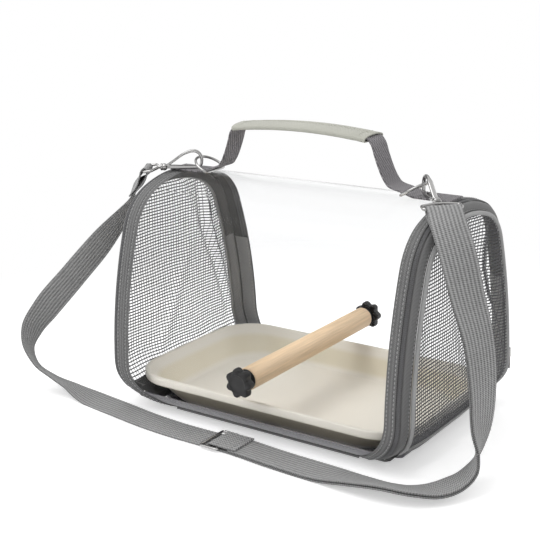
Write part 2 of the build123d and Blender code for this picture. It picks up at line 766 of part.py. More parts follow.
with BuildPart() as strap_slider:
    with BuildSketch(Plane.XY.offset(slider_low)):
        with Locations((slider_x, strap_front_y)):
            RectangleRounded(slider_length, 2 * (slot_half + slider_wall), slider_wall)
        with Locations(
            (slider_x - slot_middle, strap_front_y),
            (slider_x + slot_middle, strap_front_y),
        ):
            Rectangle(slot_length, 2 * slot_half, mode=Mode.SUBTRACT)
    extrude(amount=slider_thickness)
finish(strap_slider, "strap_slider", steel)

fold_low = double_z + layer_step + strap_thickness / 2 + seam_gap
with BuildPart() as strap_fold:
    with BuildSketch(Plane.XZ.offset(-strap_front_y)):
        fold_back = slider_x - slider_bar / 2 - seam_gap - strap_thickness
        with Locations((fold_back, fold_low)):
            Rectangle(fold_length, strap_thickness, align=Align.MIN)
        with Locations((fold_back, slider_low)):
            Rectangle(strap_thickness, fold_low - slider_low, align=Align.MIN)
    extrude(amount=strap_width / 2, both=True)
finish(strap_fold, "strap_fold", grey)

# ---- zip sliders and pulls, at the back of each end ----
pin_lift = runner_thickness / 2 + bridge_height / 2
wait_angle = radians(slider_angle)
runner_radius = side_radius + layer_gap + seam_gap / 2
pin_radius = runner_radius + pin_lift
zip_x = body_length / 2 - (piping_size + band_setback) / 2

for side, end in ((-1, "left"), (1, "right")):
    runner_plane = Plane(
        origin=(
            side * zip_x,
            side_centre[0] + runner_radius * cos(wait_angle),
            side_centre[1] + runner_radius * sin(wait_angle),
        ),
        x_dir=(1, 0, 0),
        z_dir=(0, -sin(wait_angle), cos(wait_angle)),
    )
    pin_point = (
        side * zip_x,
        side_centre[0] + pin_radius * cos(wait_angle),
        side_centre[1] + pin_radius * sin(wait_angle),
    )
    pin_plane = Plane(origin=pin_point, x_dir=(0, 1, 0), z_dir=(1, 0, 0))
    with BuildPart() as zip_slider:
        with BuildSketch(runner_plane):
            Rectangle(runner_width, runner_thickness)
        extrude(amount=runner_length / 2, both=True)
        with BuildSketch(runner_plane):
            with Locations((0, pin_lift)):
                Rectangle(bridge_width, bridge_height)
        extrude(amount=bridge_length / 2, both=True)
        with BuildSketch(pin_plane):
            Circle((pull_pin_diameter + turning_play) / 2)
        extrude(amount=bridge_width, both=True, mode=Mode.SUBTRACT)
    finish(zip_slider, f"{end}_zip_slider", steel)

    with BuildPart() as zip_pull:
        with BuildSketch(Plane(origin=pin_point, x_dir=(1, 0, 0), z_dir=(0, -1, 0))):
            with Locations((0, bridge_height * 0.42)):
                Rectangle(pull_width, pull_length, align=(Align.CENTER, Align.MAX))
            with Locations((0, bridge_height)):
                slot = bridge_width + 2 * turning_play
                Rectangle(
                    slot, bridge_height + 3.5, align=(Align.CENTER, Align.MAX), mode=Mode.SUBTRACT
                )
        extrude(amount=pull_thickness / 2, both=True)
        with BuildSketch(pin_plane):
            Circle(pull_pin_diameter / 2)
        extrude(amount=pull_width / 2, both=True)
    finish(zip_pull, f"{end}_zip_pull", steel)
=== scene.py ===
from functools import partial
from math import asin, cos, pi, radians, sin

import bpy
import numpy as np
from bpy.props import FloatProperty, FloatVectorProperty, IntProperty, PointerProperty
from mathutils import Matrix, Vector

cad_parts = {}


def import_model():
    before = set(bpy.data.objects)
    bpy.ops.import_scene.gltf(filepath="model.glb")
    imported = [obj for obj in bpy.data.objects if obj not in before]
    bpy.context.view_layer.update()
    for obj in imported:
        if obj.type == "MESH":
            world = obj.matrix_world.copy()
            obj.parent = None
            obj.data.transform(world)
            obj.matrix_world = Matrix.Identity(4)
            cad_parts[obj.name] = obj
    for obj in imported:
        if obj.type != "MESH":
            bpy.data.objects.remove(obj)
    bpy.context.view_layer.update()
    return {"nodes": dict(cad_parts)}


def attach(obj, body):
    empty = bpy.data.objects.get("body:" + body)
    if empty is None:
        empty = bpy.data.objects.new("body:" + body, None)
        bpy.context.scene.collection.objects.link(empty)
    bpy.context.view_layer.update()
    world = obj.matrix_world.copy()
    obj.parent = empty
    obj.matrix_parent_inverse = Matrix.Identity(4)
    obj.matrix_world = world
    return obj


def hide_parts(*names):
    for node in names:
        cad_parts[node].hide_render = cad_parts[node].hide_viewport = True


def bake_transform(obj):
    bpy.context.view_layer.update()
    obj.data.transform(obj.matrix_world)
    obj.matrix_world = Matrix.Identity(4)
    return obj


bl_info = {
    "name": "Bird travel carrier",
    "version": (1, 0, 0),
    "blender": (4, 5, 0),
    "location": "3D View > Sidebar > Carrier",
    "description": "Cloth, webbing, metal, tray and perch of a bird travel carrier",
    "category": "Add Mesh",
}

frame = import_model()

# ---- sizes shared by the pieces, in millimetres ----
BODY_LENGTH, BODY_HEIGHT = 330.0, 220.0
HALF_WIDTH, WIDEST_Z = 105.5, 32.0
SIDE_R, SHOULDER_R, CROWN_R, CORNER_R = 440.0, 55.0, 132.0, 40.0
TUCK, TUCK_Z = 29.0, 50.0
TUB_TOP = 20.0
FLAT_HALF = 66.0
FILM_LOW = 20.25
DOOR_LOW = 12.25
STRIP_LOW = 1.9
BAND_EDGE = {"left": 26.6, "right": 22.4}
BAND_FLARE = {"left": 0.0, "right": 4.0}
LINING_LOW, LINING_TOP = 20.6, 131.0
MESH_INSET, MESH_LOW, MESH_ROWS = 13.4, 14.0, (15.5, 205.5)
PIPE_Y, PIPE_Z, PIPE_R = 82.3, 3.75, 1.2
# painted shade on the tray's inner walls: their share of the tray colour, and the span of heights the mask runs
# over
WALL_SHADE, WALL_SPAN = (0.93, 0.9, 0.8), 0.03
PERCH_Z = 60.0
PERCH_END = 100.5
KNOB_FACE = 103.77
GRIP_LENGTH, GRIP_DROP, GRIP_TOP = 144.0, 4.5, 273.0
GRIP_R = ((GRIP_LENGTH / 2) ** 2 + GRIP_DROP**2) / (2 * GRIP_DROP)
GRIP_Z = GRIP_TOP - GRIP_R
GRIP_HALF = asin(GRIP_LENGTH / 2 / GRIP_R)
TAB_IN, TAB_OUT, TAB_HALF, TAB_Z = 120.5, 149.5, 9.5, 221.95
SWIVEL = {-1: (-157.0, -22.0, 223.9), 1: (150.5, -29.0, 223.9)}
BOW_X, BOW_Y = 125.05, -3.5
RIVET_U, RIVET_V = 8.5, 1.6
EYE_REACH, EYE_DROOP = 14.0, radians(7.0)
EYE_BAR_R = 1.4
STRAP, STRAP_THICK = 30.0, 1.6
FRONT_Y = -118.5
SLIDER_X, SLIDER_Z = -19.5, 3.25

# ends and faces of the carrier with their directions along x and y
SIDES = (("left", -1), ("right", 1))
FACES = (("front", -1), ("rear", 1))
ALONG_Y, UPWARD = np.array([0.0, 1.0, 0.0]), np.array([0.0, 0.0, 1.0])
FINISH = {}


def colour_setting(name, description, *rgb):
    """A colour property with an sRGB default from 0 to 255, kept as linear light."""
    c = np.array(rgb) / 255.0
    linear = np.where(c <= 0.04045, c / 12.92, ((c + 0.055) / 1.055) ** 2.4)
    return FloatVectorProperty(name=name, description=description, subtype="COLOR", min=0, max=1,
                               default=tuple(linear))


def length_setting(name, description, low, high, default):
    """A small length in metres."""
    return FloatProperty(name=name, description=description, unit="LENGTH", precision=4,
                         min=low, max=high, default=default)


class CarrierSettings(bpy.types.PropertyGroup):
    """Sizes and colours a user would change."""

    band_colour: colour_setting("Band cloth", "Cloth of the bands, zip tapes and gussets", 112, 112, 112)
    piping_colour: colour_setting("Piping", "Bound edges round the mesh and the base", 162, 162, 162)
    base_colour: colour_setting("Base cloth", "Satin cloth of the base", 122, 120, 126)
    strap_colour: colour_setting("Shoulder strap", "Ribbed webbing of the shoulder strap", 150, 150, 150)
    handle_colour: colour_setting("Handle webbing", "Webbing of the carrying handle", 124, 121, 124)
    grip_colour: colour_setting("Grip", "Soft sleeve round the handle", 182, 182, 172)
    tray_colour: colour_setting("Tray", "Moulded tray", 222, 217, 206)
    wood_colour: colour_setting("Perch wood", "Turned dowel", 221, 193, 158)
    knob_colour: colour_setting("Knobs", "Moulded knobs of the perch", 15, 14, 15)
    mesh_pitch: length_setting("Mesh pitch", "Height of one opening of the door mesh", 0.002, 0.008, 0.0031)
    mesh_thread: length_setting("Mesh thread", "Width of a thread of the door mesh", 0.0003, 0.002, 0.0011)
    stitch_length: length_setting("Stitch", "Length of one stitch", 0.001, 0.006, 0.0024)
    strap_ribs: IntProperty(
        name="Strap ribs", description="Ribs across the shoulder strap", min=0, max=16, default=9)
    light_power: FloatProperty(
        name="Lamp", description="Power of the large lamp over the carrier", unit="POWER",
        min=0, max=60, default=6.0)


def settings():
    """The carrier's sizes and colours in this scene."""
    return bpy.context.scene.carrier


# ---------------------------------------------------------------- meshes
def grid(*parts):
    """Arrays brought to one shape and stacked as the last axis."""
    return np.stack(np.broadcast_arrays(*parts), -1)


def there_and_back(out, back=None):
    """A run of values, then its way back, or another run's."""
    return np.concatenate([out, (out if back is None else back)[::-1]])


def edged(start, out, end, back):
    """A strip's values from its near edge along its face to its far edge, and back along its other face."""
    return np.concatenate([[start], out, [end], back[::-1]])


def sample(at, s, path):
    """Points of a path at distances at, where s is the distance of each of its points."""
    return np.stack([np.interp(at, s, path[:, i]) for i in range(3)], -1)


def plain(points):
    """A tube of points with its coordinates seen from above, in metres."""
    return points, points[..., :2] * 0.001, False


def volume(points, quads):
    """Signed volume shut in by quads: sum over triangles of a . (b x c) / 6."""
    a, b, c, d = (points[quads[:, i]] for i in range(4))
    first = np.einsum("ij,ij->i", a, np.cross(b, c))
    second = np.einsum("ij,ij->i", a, np.cross(c, d))
    return (first.sum() + second.sum()) / 6


def solid(name, parts, body, slot, replaces=(), sharp=45, finish=None):
    """One mesh from closed tubes of points, in millimetres, in the finish of its slot or another.

    Each part is (points, uv, loop). Points are [tube, along, round, xyz]; every tube is closed round
    itself, and along its length it is closed if loop is True and capped with flat ends otherwise. uv is
    [tube, along, round, 2] in metres, with one more row along a loop."""
    verts, corner, corner_uv, start = [], [], [], []
    base = used = 0
    for points, uv, loop in parts:
        points, uv = np.asarray(points, float), np.asarray(uv, float)
        if points.ndim == 3:
            points, uv = points[None], uv[None]
        k, nu, nv = points.shape[:3]
        flat = points.reshape(-1, 3)
        t, i, j = np.meshgrid(np.arange(k), np.arange(nu if loop else nu - 1), np.arange(nv), indexing="ij")
        row, col = (i + 1) % nu, (j + 1) % nv
        cell = lambda r, c: t * nu * nv + r * nv + c
        quads = np.stack([cell(i, j), cell(row, j), cell(row, col), cell(i, col)], -1).reshape(-1, 4)
        quv = np.stack([uv[t, i, j], uv[t, i + 1, j], uv[t, i + 1, col], uv[t, i, col]], -2).reshape(-1, 4, 2)
        turned = volume(flat - flat.mean(0), quads) < 0
        if turned:
            quads, quv = quads[:, ::-1], quv[:, ::-1]
        verts.append(flat)
        corner.append((quads + base).ravel())
        corner_uv.append(quv.reshape(-1, 2))
        start.append(used + 4 * np.arange(len(quads)))
        used += 4 * len(quads)
        if not loop:
            ring = np.arange(nv) if not turned else np.arange(nv)[::-1]
            tube = np.arange(k)[:, None] * nu * nv
            low, high = tube + ring, tube + (nu - 1) * nv + ring[::-1]
            for caps, end in ((low, 0), (high, nu - 1)):
                corner.append((caps + base).ravel())
                corner_uv.append(uv[np.arange(k)[:, None], end, caps % nv].reshape(-1, 2))
                start.append(used + nv * np.arange(k))
                used += nv * k
        base += len(flat)
    mesh = bpy.data.meshes.new(name)
    co = np.concatenate(verts) * 0.001
    corner, corner_uv, start = np.concatenate(corner), np.concatenate(corner_uv), np.concatenate(start)
    mesh.vertices.add(len(co))
    mesh.vertices.foreach_set("co", co.ravel())
    mesh.loops.add(len(corner))
    mesh.loops.foreach_set("vertex_index", corner.astype(np.int32))
    mesh.polygons.add(len(start))
    mesh.polygons.foreach_set("loop_start", start.astype(np.int32))
    mesh.update(calc_edges=True)
    layer = mesh.uv_layers.new(name="cloth")
    layer.data.foreach_set("uv", corner_uv.ravel())
    mesh.validate()
    mesh.polygons.foreach_set("use_smooth", np.ones(len(mesh.polygons), bool))
    mesh.set_sharp_from_angle(angle=radians(sharp))
    mesh.materials.append(FINISH[finish or slot])
    piece = bpy.data.objects.new(name, mesh)
    bpy.context.scene.collection.objects.link(piece)
    if body:
        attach(piece, body)
    if replaces:
        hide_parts(*replaces)
    return piece


def finish_cad(node, slot):
    """Give a carried-over node its finish."""
    piece = frame["nodes"][node]
    piece.data.materials.clear()
    piece.data.materials.append(FINISH[slot])


def spline(knots, count):
    """Cubic Hermite curve through the knots; its parameter is chord length, and the slope at a knot is the
    mean of its two chords' slopes, each weighted by the other's length. Columns after the third ride
    along."""
    k = np.asarray(knots, float)
    h = np.linalg.norm(np.diff(k[:, :3], axis=0), axis=1)
    t = np.concatenate([[0.0], np.cumsum(h)])
    d = np.diff(k, axis=0) / h[:, None]
    inner = (d[:-1] * h[1:, None] + d[1:] * h[:-1, None]) / (h[:-1] + h[1:])[:, None]
    m = np.vstack([d[:1], inner, d[-1:]])
    x = np.linspace(0, t[-1], count)
    i = np.clip(np.searchsorted(t, x, side="right") - 1, 0, len(h) - 1)
    s, w = ((x - t[i]) / h[i])[:, None], h[i][:, None]
    near = (2 * s**3 - 3 * s**2 + 1) * k[i] + (s**3 - 2 * s**2 + s) * w * m[i]
    return near + (3 * s**2 - 2 * s**3) * k[i + 1] + (s**3 - s**2) * w * m[i + 1]


def unit(v):
    """Vectors scaled to length one."""
    return v / np.maximum(np.linalg.norm(v, axis=-1, keepdims=True), 1e-9)


def lengths(path):
    """Distance along a path at each of its points."""
    return np.concatenate([[0.0], np.cumsum(np.linalg.norm(np.diff(path, axis=0), axis=1))])


def smoothstep(x):
    """0 below 0, 1 above 1, and 3x^2 - 2x^3 between."""
    x = np.clip(x, 0, 1)
    return x * x * (3 - 2 * x)


def carry(path, across, profile, loop=False):
    """Profile [round, 2] or [along, round, 2] carried along a path: point = path + a * across + b * (run x
    across)."""
    run = unit(np.gradient(path, axis=0))
    if loop:
        run = unit(np.roll(path, -1, 0) - np.roll(path, 1, 0))
    up = unit(np.cross(run, across))
    across = unit(np.cross(up, run))
    profile = np.broadcast_to(profile, (len(path),) + profile.shape[-2:])
    points = path[:, None] + across[:, None] * profile[..., :1] + up[:, None] * profile[..., 1:]
    s = lengths(path)
    width = profile[..., 0]
    if loop:
        s = np.append(s, s[-1] + np.linalg.norm(path[0] - path[-1]))
        width = np.vstack([width, width[:1]])
    return points, grid(s[:, None], width) * 0.001, loop


def flat_oval(width, thick, count, ribs=0, depth=0.0):
    """Closed profile of webbing: two faces y = -w/2..w/2 at z = +-t/2, joined by half circles. Ribs sink
    the faces by depth * (1 - |sin(ribs * pi * y / w)|)."""
    r = thick / 2
    v = np.linspace(-1, 1, count)
    sink = depth * (1 - np.abs(np.sin(ribs * pi * (v + 1) / 2))) if ribs else 0 * v
    top = np.stack([v * (width / 2 - r), r - sink], 1)
    a = np.linspace(pi / 2, -pi / 2, 7)[1:-1]
    right = np.stack([width / 2 - r + r * np.cos(a), r * np.sin(a)], 1)
    return np.concatenate([top, right, top[::-1] * (1, -1), right[::-1] * (-1, 1)])


def turn(count):
    """Angles once round, without the last."""
    return np.linspace(0, 2 * pi, count, endpoint=False)


def circle(radius, count=12):
    """Closed round profile."""
    a = turn(count)
    return np.stack([radius * np.cos(a), radius * np.sin(a)], 1)


def stitches(path, normal, pitch, thread=0.45, lift=0.12):
    """Short thread runs on a path: each is a tube of radius thread * sqrt(1 - u^2), u = -1..1 along the
    stitch, bowed up by lift * (1 - u^2) from the surface."""
    long = settings().stitch_length * 1000
    s = lengths(path)
    count = max(1, int((s[-1] - long) / pitch))
    middle = (np.arange(count) + 0.5) * s[-1] / count
    u = np.linspace(-1, 1, 5)
    at = middle[:, None] + u * long / 2
    p = sample(at, s, path)
    n = unit(sample(at, s, np.broadcast_to(normal, path.shape)))
    side = unit(np.cross(unit(np.gradient(p, axis=1)), n))
    a = turn(6)
    r = thread * np.sqrt(1.03 - u**2)[None, :, None, None]
    bow = lift * (1 - u**2)[None, :, None]
    ring = side[:, :, None] * np.cos(a)[:, None] * r + n[:, :, None] * np.sin(a)[:, None] * r
    return (p + n * bow)[:, :, None] + ring, grid(at[:, :, None] * 0.001, a * 0.0003), False


# ---------------------------------------------------------------- the arch
def arch(step=3.0):
    """The arch outline as arrays: centre C, radius R, outward direction N of each point, from the middle of
    the bottom round by +Y, the crown and -Y. A line inset by D runs at C + (R - D) N."""
    side = np.array([HALF_WIDTH - SIDE_R, WIDEST_Z])
    crown = np.array([0.0, BODY_HEIGHT - CROWN_R])
    corner = np.array([side[0] + np.sqrt((SIDE_R - CORNER_R) ** 2 - (CORNER_R - WIDEST_Z) ** 2), CORNER_R])
    to_crown = crown - side
    span = np.linalg.norm(to_crown)
    reach = SIDE_R - SHOULDER_R
    along = (reach**2 - (CROWN_R - SHOULDER_R) ** 2 + span**2) / (2 * span)
    off = np.sqrt(reach**2 - along**2)
    x = to_crown / span
    shoulder = side + along * x + off * np.array([-x[1], x[0]])
    angle = lambda a, b: np.arctan2(b[1] - a[1], b[0] - a[0])
    a1, a2, a3 = angle(side, corner), angle(side, shoulder), angle(crown, shoulder)
    y = np.arange(0, corner[0], step)
    centre, radius, out = [grid(y, 0)], [0 * y], [np.tile([0.0, -1.0], (len(y), 1))]
    for c, r, lo, hi in ((corner, CORNER_R, -pi / 2, a1), (side, SIDE_R, a1, a2),
                         (shoulder, SHOULDER_R, a2, a3), (crown, CROWN_R, a3, pi / 2)):
        n = int(np.ceil(r * (hi - lo) / step))
        a = np.linspace(lo, hi, n, endpoint=False)
        centre.append(np.tile(c, (n, 1)))
        radius.append(np.full(n, r))
        out.append(np.stack([np.cos(a), np.sin(a)], 1))
    c, r, n = np.concatenate(centre), np.concatenate(radius), np.concatenate(out)
    flip = np.array([-1.0, 1.0])
    c = np.concatenate([c, [crown], c[:0:-1] * flip])
    n = np.concatenate([n, [[0.0, 1.0]], n[:0:-1] * flip])
    r = np.concatenate([r, [CROWN_R], r[:0:-1]])
    return c, r, n


ARCH = arch()


def half_outline(inset):
    """Depth and height along the rear half of the arch, inset by D, from the bottom up."""
    c, r, n = ARCH
    half = len(r) // 2 + 1
    return (c[:half] + (r[:half, None] - inset) * n[:half]).T


def outline_y(z, inset):
    """Half depth of the arch at height z, inset by D."""
    y, height = half_outline(inset)
    return np.interp(z, height[:-1], y[:-1])


def end_x(z, setback, y=0.0):
    """Distance of an end's curl from the middle at height z: L/2 - setback - tuck * (1 - z/h)^2 below h,
    with each lower corner of the end drawn in by a further 15 * v^2 * (1 - z/38)^2, v = (|y| - 30) / 45 up
    to 1."""
    corner = np.clip((np.abs(y) - 30.0) / 45.0, 0, 1) ** 2 * np.clip(1 - z / 38.0, 0, 1) ** 2
    return BODY_LENGTH / 2 - setback - TUCK * np.clip(1 - z / TUCK_Z, 0, 1) ** 2 - 15.0 * corner


def round_arch(side, inset, setback, low, loop=False, bottom=None, flare=0.0):
    """Profile of (inset, setback) pairs carried round the arch above height low; y and z are C + (R - D) N,
    and x is the end's curl at that height. The profile's inner edge is set back by a further flare * (1 -
    z/60)^2."""
    c, r, n = ARCH
    inset, setback = np.asarray(inset, float), np.asarray(setback, float)
    yz = c[:, None] + (r[:, None, None] - inset[None, :, None]) * n[:, None]
    if not loop:
        yz = yz[yz[:, :, 1].mean(1) >= low]
    if bottom is not None:
        yz[..., 1] = np.maximum(yz[..., 1], bottom)
    inward = (setback - setback.min()) / max(np.ptp(setback), 1e-6)
    wider = flare * inward * np.clip(1 - yz[..., 1] / 60.0, 0, 1) ** 2
    x = side * end_x(yz[..., 1], setback + wider, yz[..., 0])
    points = np.concatenate([x[..., None], yz], -1)
    s = lengths(points.mean(1))
    if loop:
        s = np.append(s, s[-1] + 3.0)
    return points, grid(s[:, None], setback) * 0.001, loop


def arch_line(side, inset, setback, low):
    """A line round the arch and the direction out of the cloth along it."""
    points = round_arch(side, [inset, inset - 1.0], [setback, setback], low)[0]
    return points[:, 0], unit(points[:, 1] - points[:, 0])


def stretch_of(strip, keep):
    """The stretch of a strip round the arch where keep(y, z) holds for its middle."""
    points, uv, _ = strip
    kept = keep(points[..., 1].mean(1), points[..., 2].mean(1))
    return points[kept], uv[kept], False


def end_panel(side, bottom, top, rows, inset, near, far):
    """Cloth across an end between two heights and two setbacks: y = v * half depth, v = -1..1."""
    z = np.linspace(bottom, top, rows)[:, None]
    y = outline_y(z, inset) * there_and_back(np.linspace(-1, 1, 60))
    x = side * end_x(z, np.repeat([near, far], 60), y)
    return grid(x, y, z), grid(y, z) * 0.001, False


# ---------------------------------------------------------------- materials
SOCKETS = {"f": "NodeSocketFloat", "c": "NodeSocketColor", "v": "NodeSocketVector"}


def link(source, socket):
    """Join a socket to another socket, or set it to a value."""
    if isinstance(source, bpy.types.NodeSocket):
        socket.id_data.links.new(source, socket)
    else:
        socket.default_value = source


def fill(node, sockets):
    """Values or links for a node's inputs, by name or place."""
    for label, source in sockets.items():
        link(source, node.inputs[label])


def add(tree, kind, sockets=None, **options):
    """A shader node with its options, and with values or links in its inputs."""
    node = tree.nodes.new(f"ShaderNode{kind}")
    for label, value in options.items():
        setattr(node, label, value)
    fill(node, sockets or {})
    return node


def group(name, inputs, outputs):
    """A node group with named float, colour or vector sockets; returns the tree, what comes in and what
    goes out."""
    tree = bpy.data.node_groups.new(name, "ShaderNodeTree")
    for label, kind, value in inputs:
        socket = tree.interface.new_socket(name=label, in_out="INPUT", socket_type=SOCKETS[kind])
        if value is not None:
            socket.default_value = value
    for label, kind in outputs:
        tree.interface.new_socket(name=label, in_out="OUTPUT", socket_type=SOCKETS[kind])
    return tree, tree.nodes.new("NodeGroupInput").outputs, tree.nodes.new("NodeGroupOutput")


def math_node(tree, kind, a, b=None):
    """A Math node of this kind on sockets or numbers."""
    return add(tree, "Math", {0: a} if b is None else {0: a, 1: b}, operation=kind).outputs[0]


def swing(tree, value, middle, amount):
    """(value - middle) * amount."""
    return math_node(tree, "MULTIPLY", math_node(tree, "SUBTRACT", value, middle), amount)


def scaled(tree, vector, factor):
    """A vector or a colour times a factor."""
    return add(tree, "VectorMath", {0: vector, "Scale": factor}, operation="SCALE").outputs[0]


def noise(tree, vector, scale, detail=3.0, rough=0.55, stretch=None):
    """Noise factor on a vector, stretched first if asked."""
    if stretch is not None:
        vector = add(tree, "Mapping", {"Scale": stretch, "Vector": vector}).outputs[0]
    sockets = {"Scale": scale, "Detail": detail, "Roughness": rough, "Vector": vector}
    return add(tree, "TexNoise", sockets).outputs["Fac"]


def ramp(tree, factor, stops):
    """Colour between stops of (position, colour)."""
    node = add(tree, "ValToRGB", {0: factor})
    elements = node.color_ramp.elements
    elements[0].position, elements[1].position = stops[0][0], stops[-1][0]
    for position, tone in stops[1:-1]:
        elements.new(position)
    for element, (position, tone) in zip(elements, stops):
        element.color = (*tone, 1)
    return node.outputs[0]


def mixed(tree, factor, first, second):
    """Two shaders mixed by a factor."""
    return add(tree, "MixShader", {0: factor, 1: first, 2: second}).outputs[0]


def weave_group():
    """Woven cloth: threads along u and v cross over and under, height = sin(2 pi u f) sin(2 pi (v f + twill
    u f)), with uneven yarn and soft wear from noise. Puts out a colour and a height."""
    tree, into, out = group(
        "woven_cloth",
        [("Vector", "v", None), ("Colour", "c", (0.5, 0.5, 0.5, 1)), ("Along", "f", 900.0),
         ("Across", "f", 900.0), ("Twill", "f", 0.0), ("Contrast", "f", 0.3), ("Patchiness", "f", 0.12)],
        [("Colour", "c"), ("Height", "f")],
    )
    do = partial(math_node, tree)
    split = add(tree, "SeparateXYZ", {0: into["Vector"]}).outputs
    u = do("MULTIPLY", split[0], into["Along"])
    v = do("ADD", do("MULTIPLY", split[1], into["Across"]), do("MULTIPLY", u, into["Twill"]))
    cross = do("MULTIPLY", *(do("SINE", do("MULTIPLY", turns, 2 * pi)) for turns in (u, v)))
    yarn = noise(tree, into["Vector"], 420.0, 2.0)
    patch = noise(tree, into["Vector"], 22.0, 4.0)
    height = do("ADD", do("MULTIPLY", do("ADD", cross, 1.0), 0.5), do("MULTIPLY", yarn, 0.5))
    wear = do("MULTIPLY", swing(tree, patch, 0.5, into["Patchiness"]), 2.0)
    total = do("ADD", do("ADD", swing(tree, height, 0.75, into["Contrast"]), wear), 1.0)
    fill(out, {"Colour": scaled(tree, into["Colour"], total), "Height": height})


def grain_group():
    """Turned wood: fine pores and slow bands stretched along the dowel, both from noise. Puts out a colour
    and a height."""
    tree, into, out = group(
        "turned_wood",
        [("Vector", "v", None), ("Colour", "c", (0.7, 0.5, 0.3, 1)), ("Bands", "f", 0.2), ("Pores", "f", 0.2)],
        [("Colour", "c"), ("Height", "f")],
    )
    do = partial(math_node, tree)
    band = noise(tree, into["Vector"], 60.0, 4.0, 0.6, (1.0, 0.06, 1.0))
    pore = noise(tree, into["Vector"], 900.0, 2.0, 0.5, (1.0, 0.03, 1.0))
    both = do("ADD", swing(tree, band, 0.5, into["Bands"]), swing(tree, pore, 0.5, into["Pores"]))
    fill(out, {"Colour": scaled(tree, into["Colour"], do("ADD", both, 1.0)), "Height": pore})


def handling_group():
    """Marks of handling: fine scuffs and slow unevenness from noise. Puts out a colour, a roughness and a
    height."""
    tree, into, out = group(
        "handling_marks",
        [("Vector", "v", None), ("Colour", "c", (0.5, 0.5, 0.5, 1)), ("Roughness", "f", 0.4),
         ("Spread", "f", 0.1), ("Unevenness", "f", 0.05), ("Scale", "f", 1.0)],
        [("Colour", "c"), ("Roughness", "f"), ("Height", "f")],
    )
    do = partial(math_node, tree)
    where = scaled(tree, into["Vector"], into["Scale"])
    slow = noise(tree, where, 18.0, 3.0)
    fine = noise(tree, where, 320.0, 4.0, 0.65)
    scuff = noise(tree, where, 90.0, 5.0, 0.6, (1.0, 0.25, 1.0))
    uneven = do("ADD", do("MULTIPLY", swing(tree, slow, 0.5, into["Unevenness"]), 2.0), 1.0)
    marks = do("MULTIPLY", swing(tree, scuff, 0.5, into["Spread"]), 2.0)
    fill(out, {"Colour": scaled(tree, into["Colour"], uneven), "Roughness": do("ADD", into["Roughness"], marks),
               "Height": fine})


def start_material(name):
    """A new node material; returns it, its tree and its Principled shader."""
    material = bpy.data.materials.new(name)
    material.use_nodes = True
    return material, material.node_tree, material.node_tree.nodes["Principled BSDF"]


def show(tree, shader):
    """A shader on the material's surface."""
    link(shader, tree.nodes["Material Output"].inputs["Surface"])


def bump(tree, shader, height, distance, strength=1.0):
    """A Bump node from a height into the shader's normal."""
    node = add(tree, "Bump", {"Distance": distance, "Strength": strength, "Height": height})
    link(node.outputs[0], shader.inputs["Normal"])


def effect_material(name, effect, colour, values, depth, strength=1.0, where="Object"):
    """A material with its colour and bump from a node group, on object coordinates or on the cloth's own
    uv."""
    material, tree, shader = start_material(name)
    place = add(tree, "UVMap", uv_map="cloth") if where == "UV" else add(tree, "TexCoord")
    sockets = {"Vector": place.outputs[where], "Colour": (*colour, 1), **values}
    node = add(tree, "Group", node_tree=bpy.data.node_groups[effect])
    fill(node, sockets)
    link(node.outputs["Colour"], shader.inputs["Base Color"])
    bump(tree, shader, node.outputs["Height"], depth, strength)
    return material, node, shader


def cloth_material(name, colour, along, across, twill=0.0, contrast=0.3, patch=0.1, rough=0.85, depth=0.0002,
                   sheen=0.25, where="UV"):
    """Woven cloth; its threads are counted per metre."""
    values = {"Along": along, "Across": across, "Twill": twill, "Contrast": contrast, "Patchiness": patch}
    material, _, shader = effect_material(name, "woven_cloth", colour, values, depth, where=where)
    fill(shader, {"Roughness": rough, "Sheen Weight": sheen, "Sheen Roughness": 0.4, "Specular IOR Level": 0.3})
    return material


def moulded_material(name, colour, rough, spread=0.08, uneven=0.05, scale=1.0, metal=0.0, depth=0.00003):
    """Moulded plastic or plated metal with marks of handling."""
    values = {"Roughness": rough, "Spread": spread, "Unevenness": uneven, "Scale": scale}
    material, node, shader = effect_material(name, "handling_marks", colour, values, depth, 0.5)
    fill(shader, {"Roughness": node.outputs["Roughness"], "Metallic": metal})
    return material


def wood_material(colour):
    """Turned wood of the dowel."""
    values = {"Bands": 0.55, "Pores": 0.5}
    material, _, shader = effect_material("perch_wood", "turned_wood", colour, values, 0.0001)
    fill(shader, {"Roughness": 0.5})
    return material


def paint_wall_shade(material, colour):
    """The tray's drawn walls are painted darker and yellower than its floor and rim: painted shade, from a mask
    over height on object coordinates."""
    tree = material.node_tree
    node = next(n for n in tree.nodes if n.type == "GROUP")
    where = next(n for n in tree.nodes if n.type == "TEX_COORD")
    height = add(tree, "SeparateXYZ", {0: where.outputs["Object"]}).outputs[2]
    # the walls' colour is the tray colour darkened: painted shade
    wall = tuple(c * share for c, share in zip(colour, WALL_SHADE))
    stops = ((0.0085, colour), (0.0125, wall), (0.0245, wall), (0.0285, colour))
    stops = [(level / WALL_SPAN, tone) for level, tone in stops]
    link(ramp(tree, math_node(tree, "DIVIDE", height, WALL_SPAN), stops), node.inputs["Colour"])


def vinyl_material():
    """Clear sheet: glass-like shader that lets lamps through, with slow waves in its surface."""
    material, tree, shader = start_material("clear_vinyl")
    fill(shader, {"Base Color": (0.996, 0.998, 1.0, 1), "Roughness": 0.03, "IOR": 1.09,
                  "Transmission Weight": 1.0})
    where = add(tree, "TexCoord").outputs["Object"]
    bump(tree, shader, noise(tree, where, 9.0, 1.0, 0.4), 0.0006, 0.5)
    shadow = add(tree, "LightPath").outputs["Is Shadow Ray"]
    show(tree, mixed(tree, shadow, shader.outputs[0], add(tree, "BsdfTransparent").outputs[0]))
    return material


def toned(colour, gain=1.0):
    """A colour made darker or lighter, no brighter than white."""
    return tuple(min(1.0, c * gain) for c in colour)


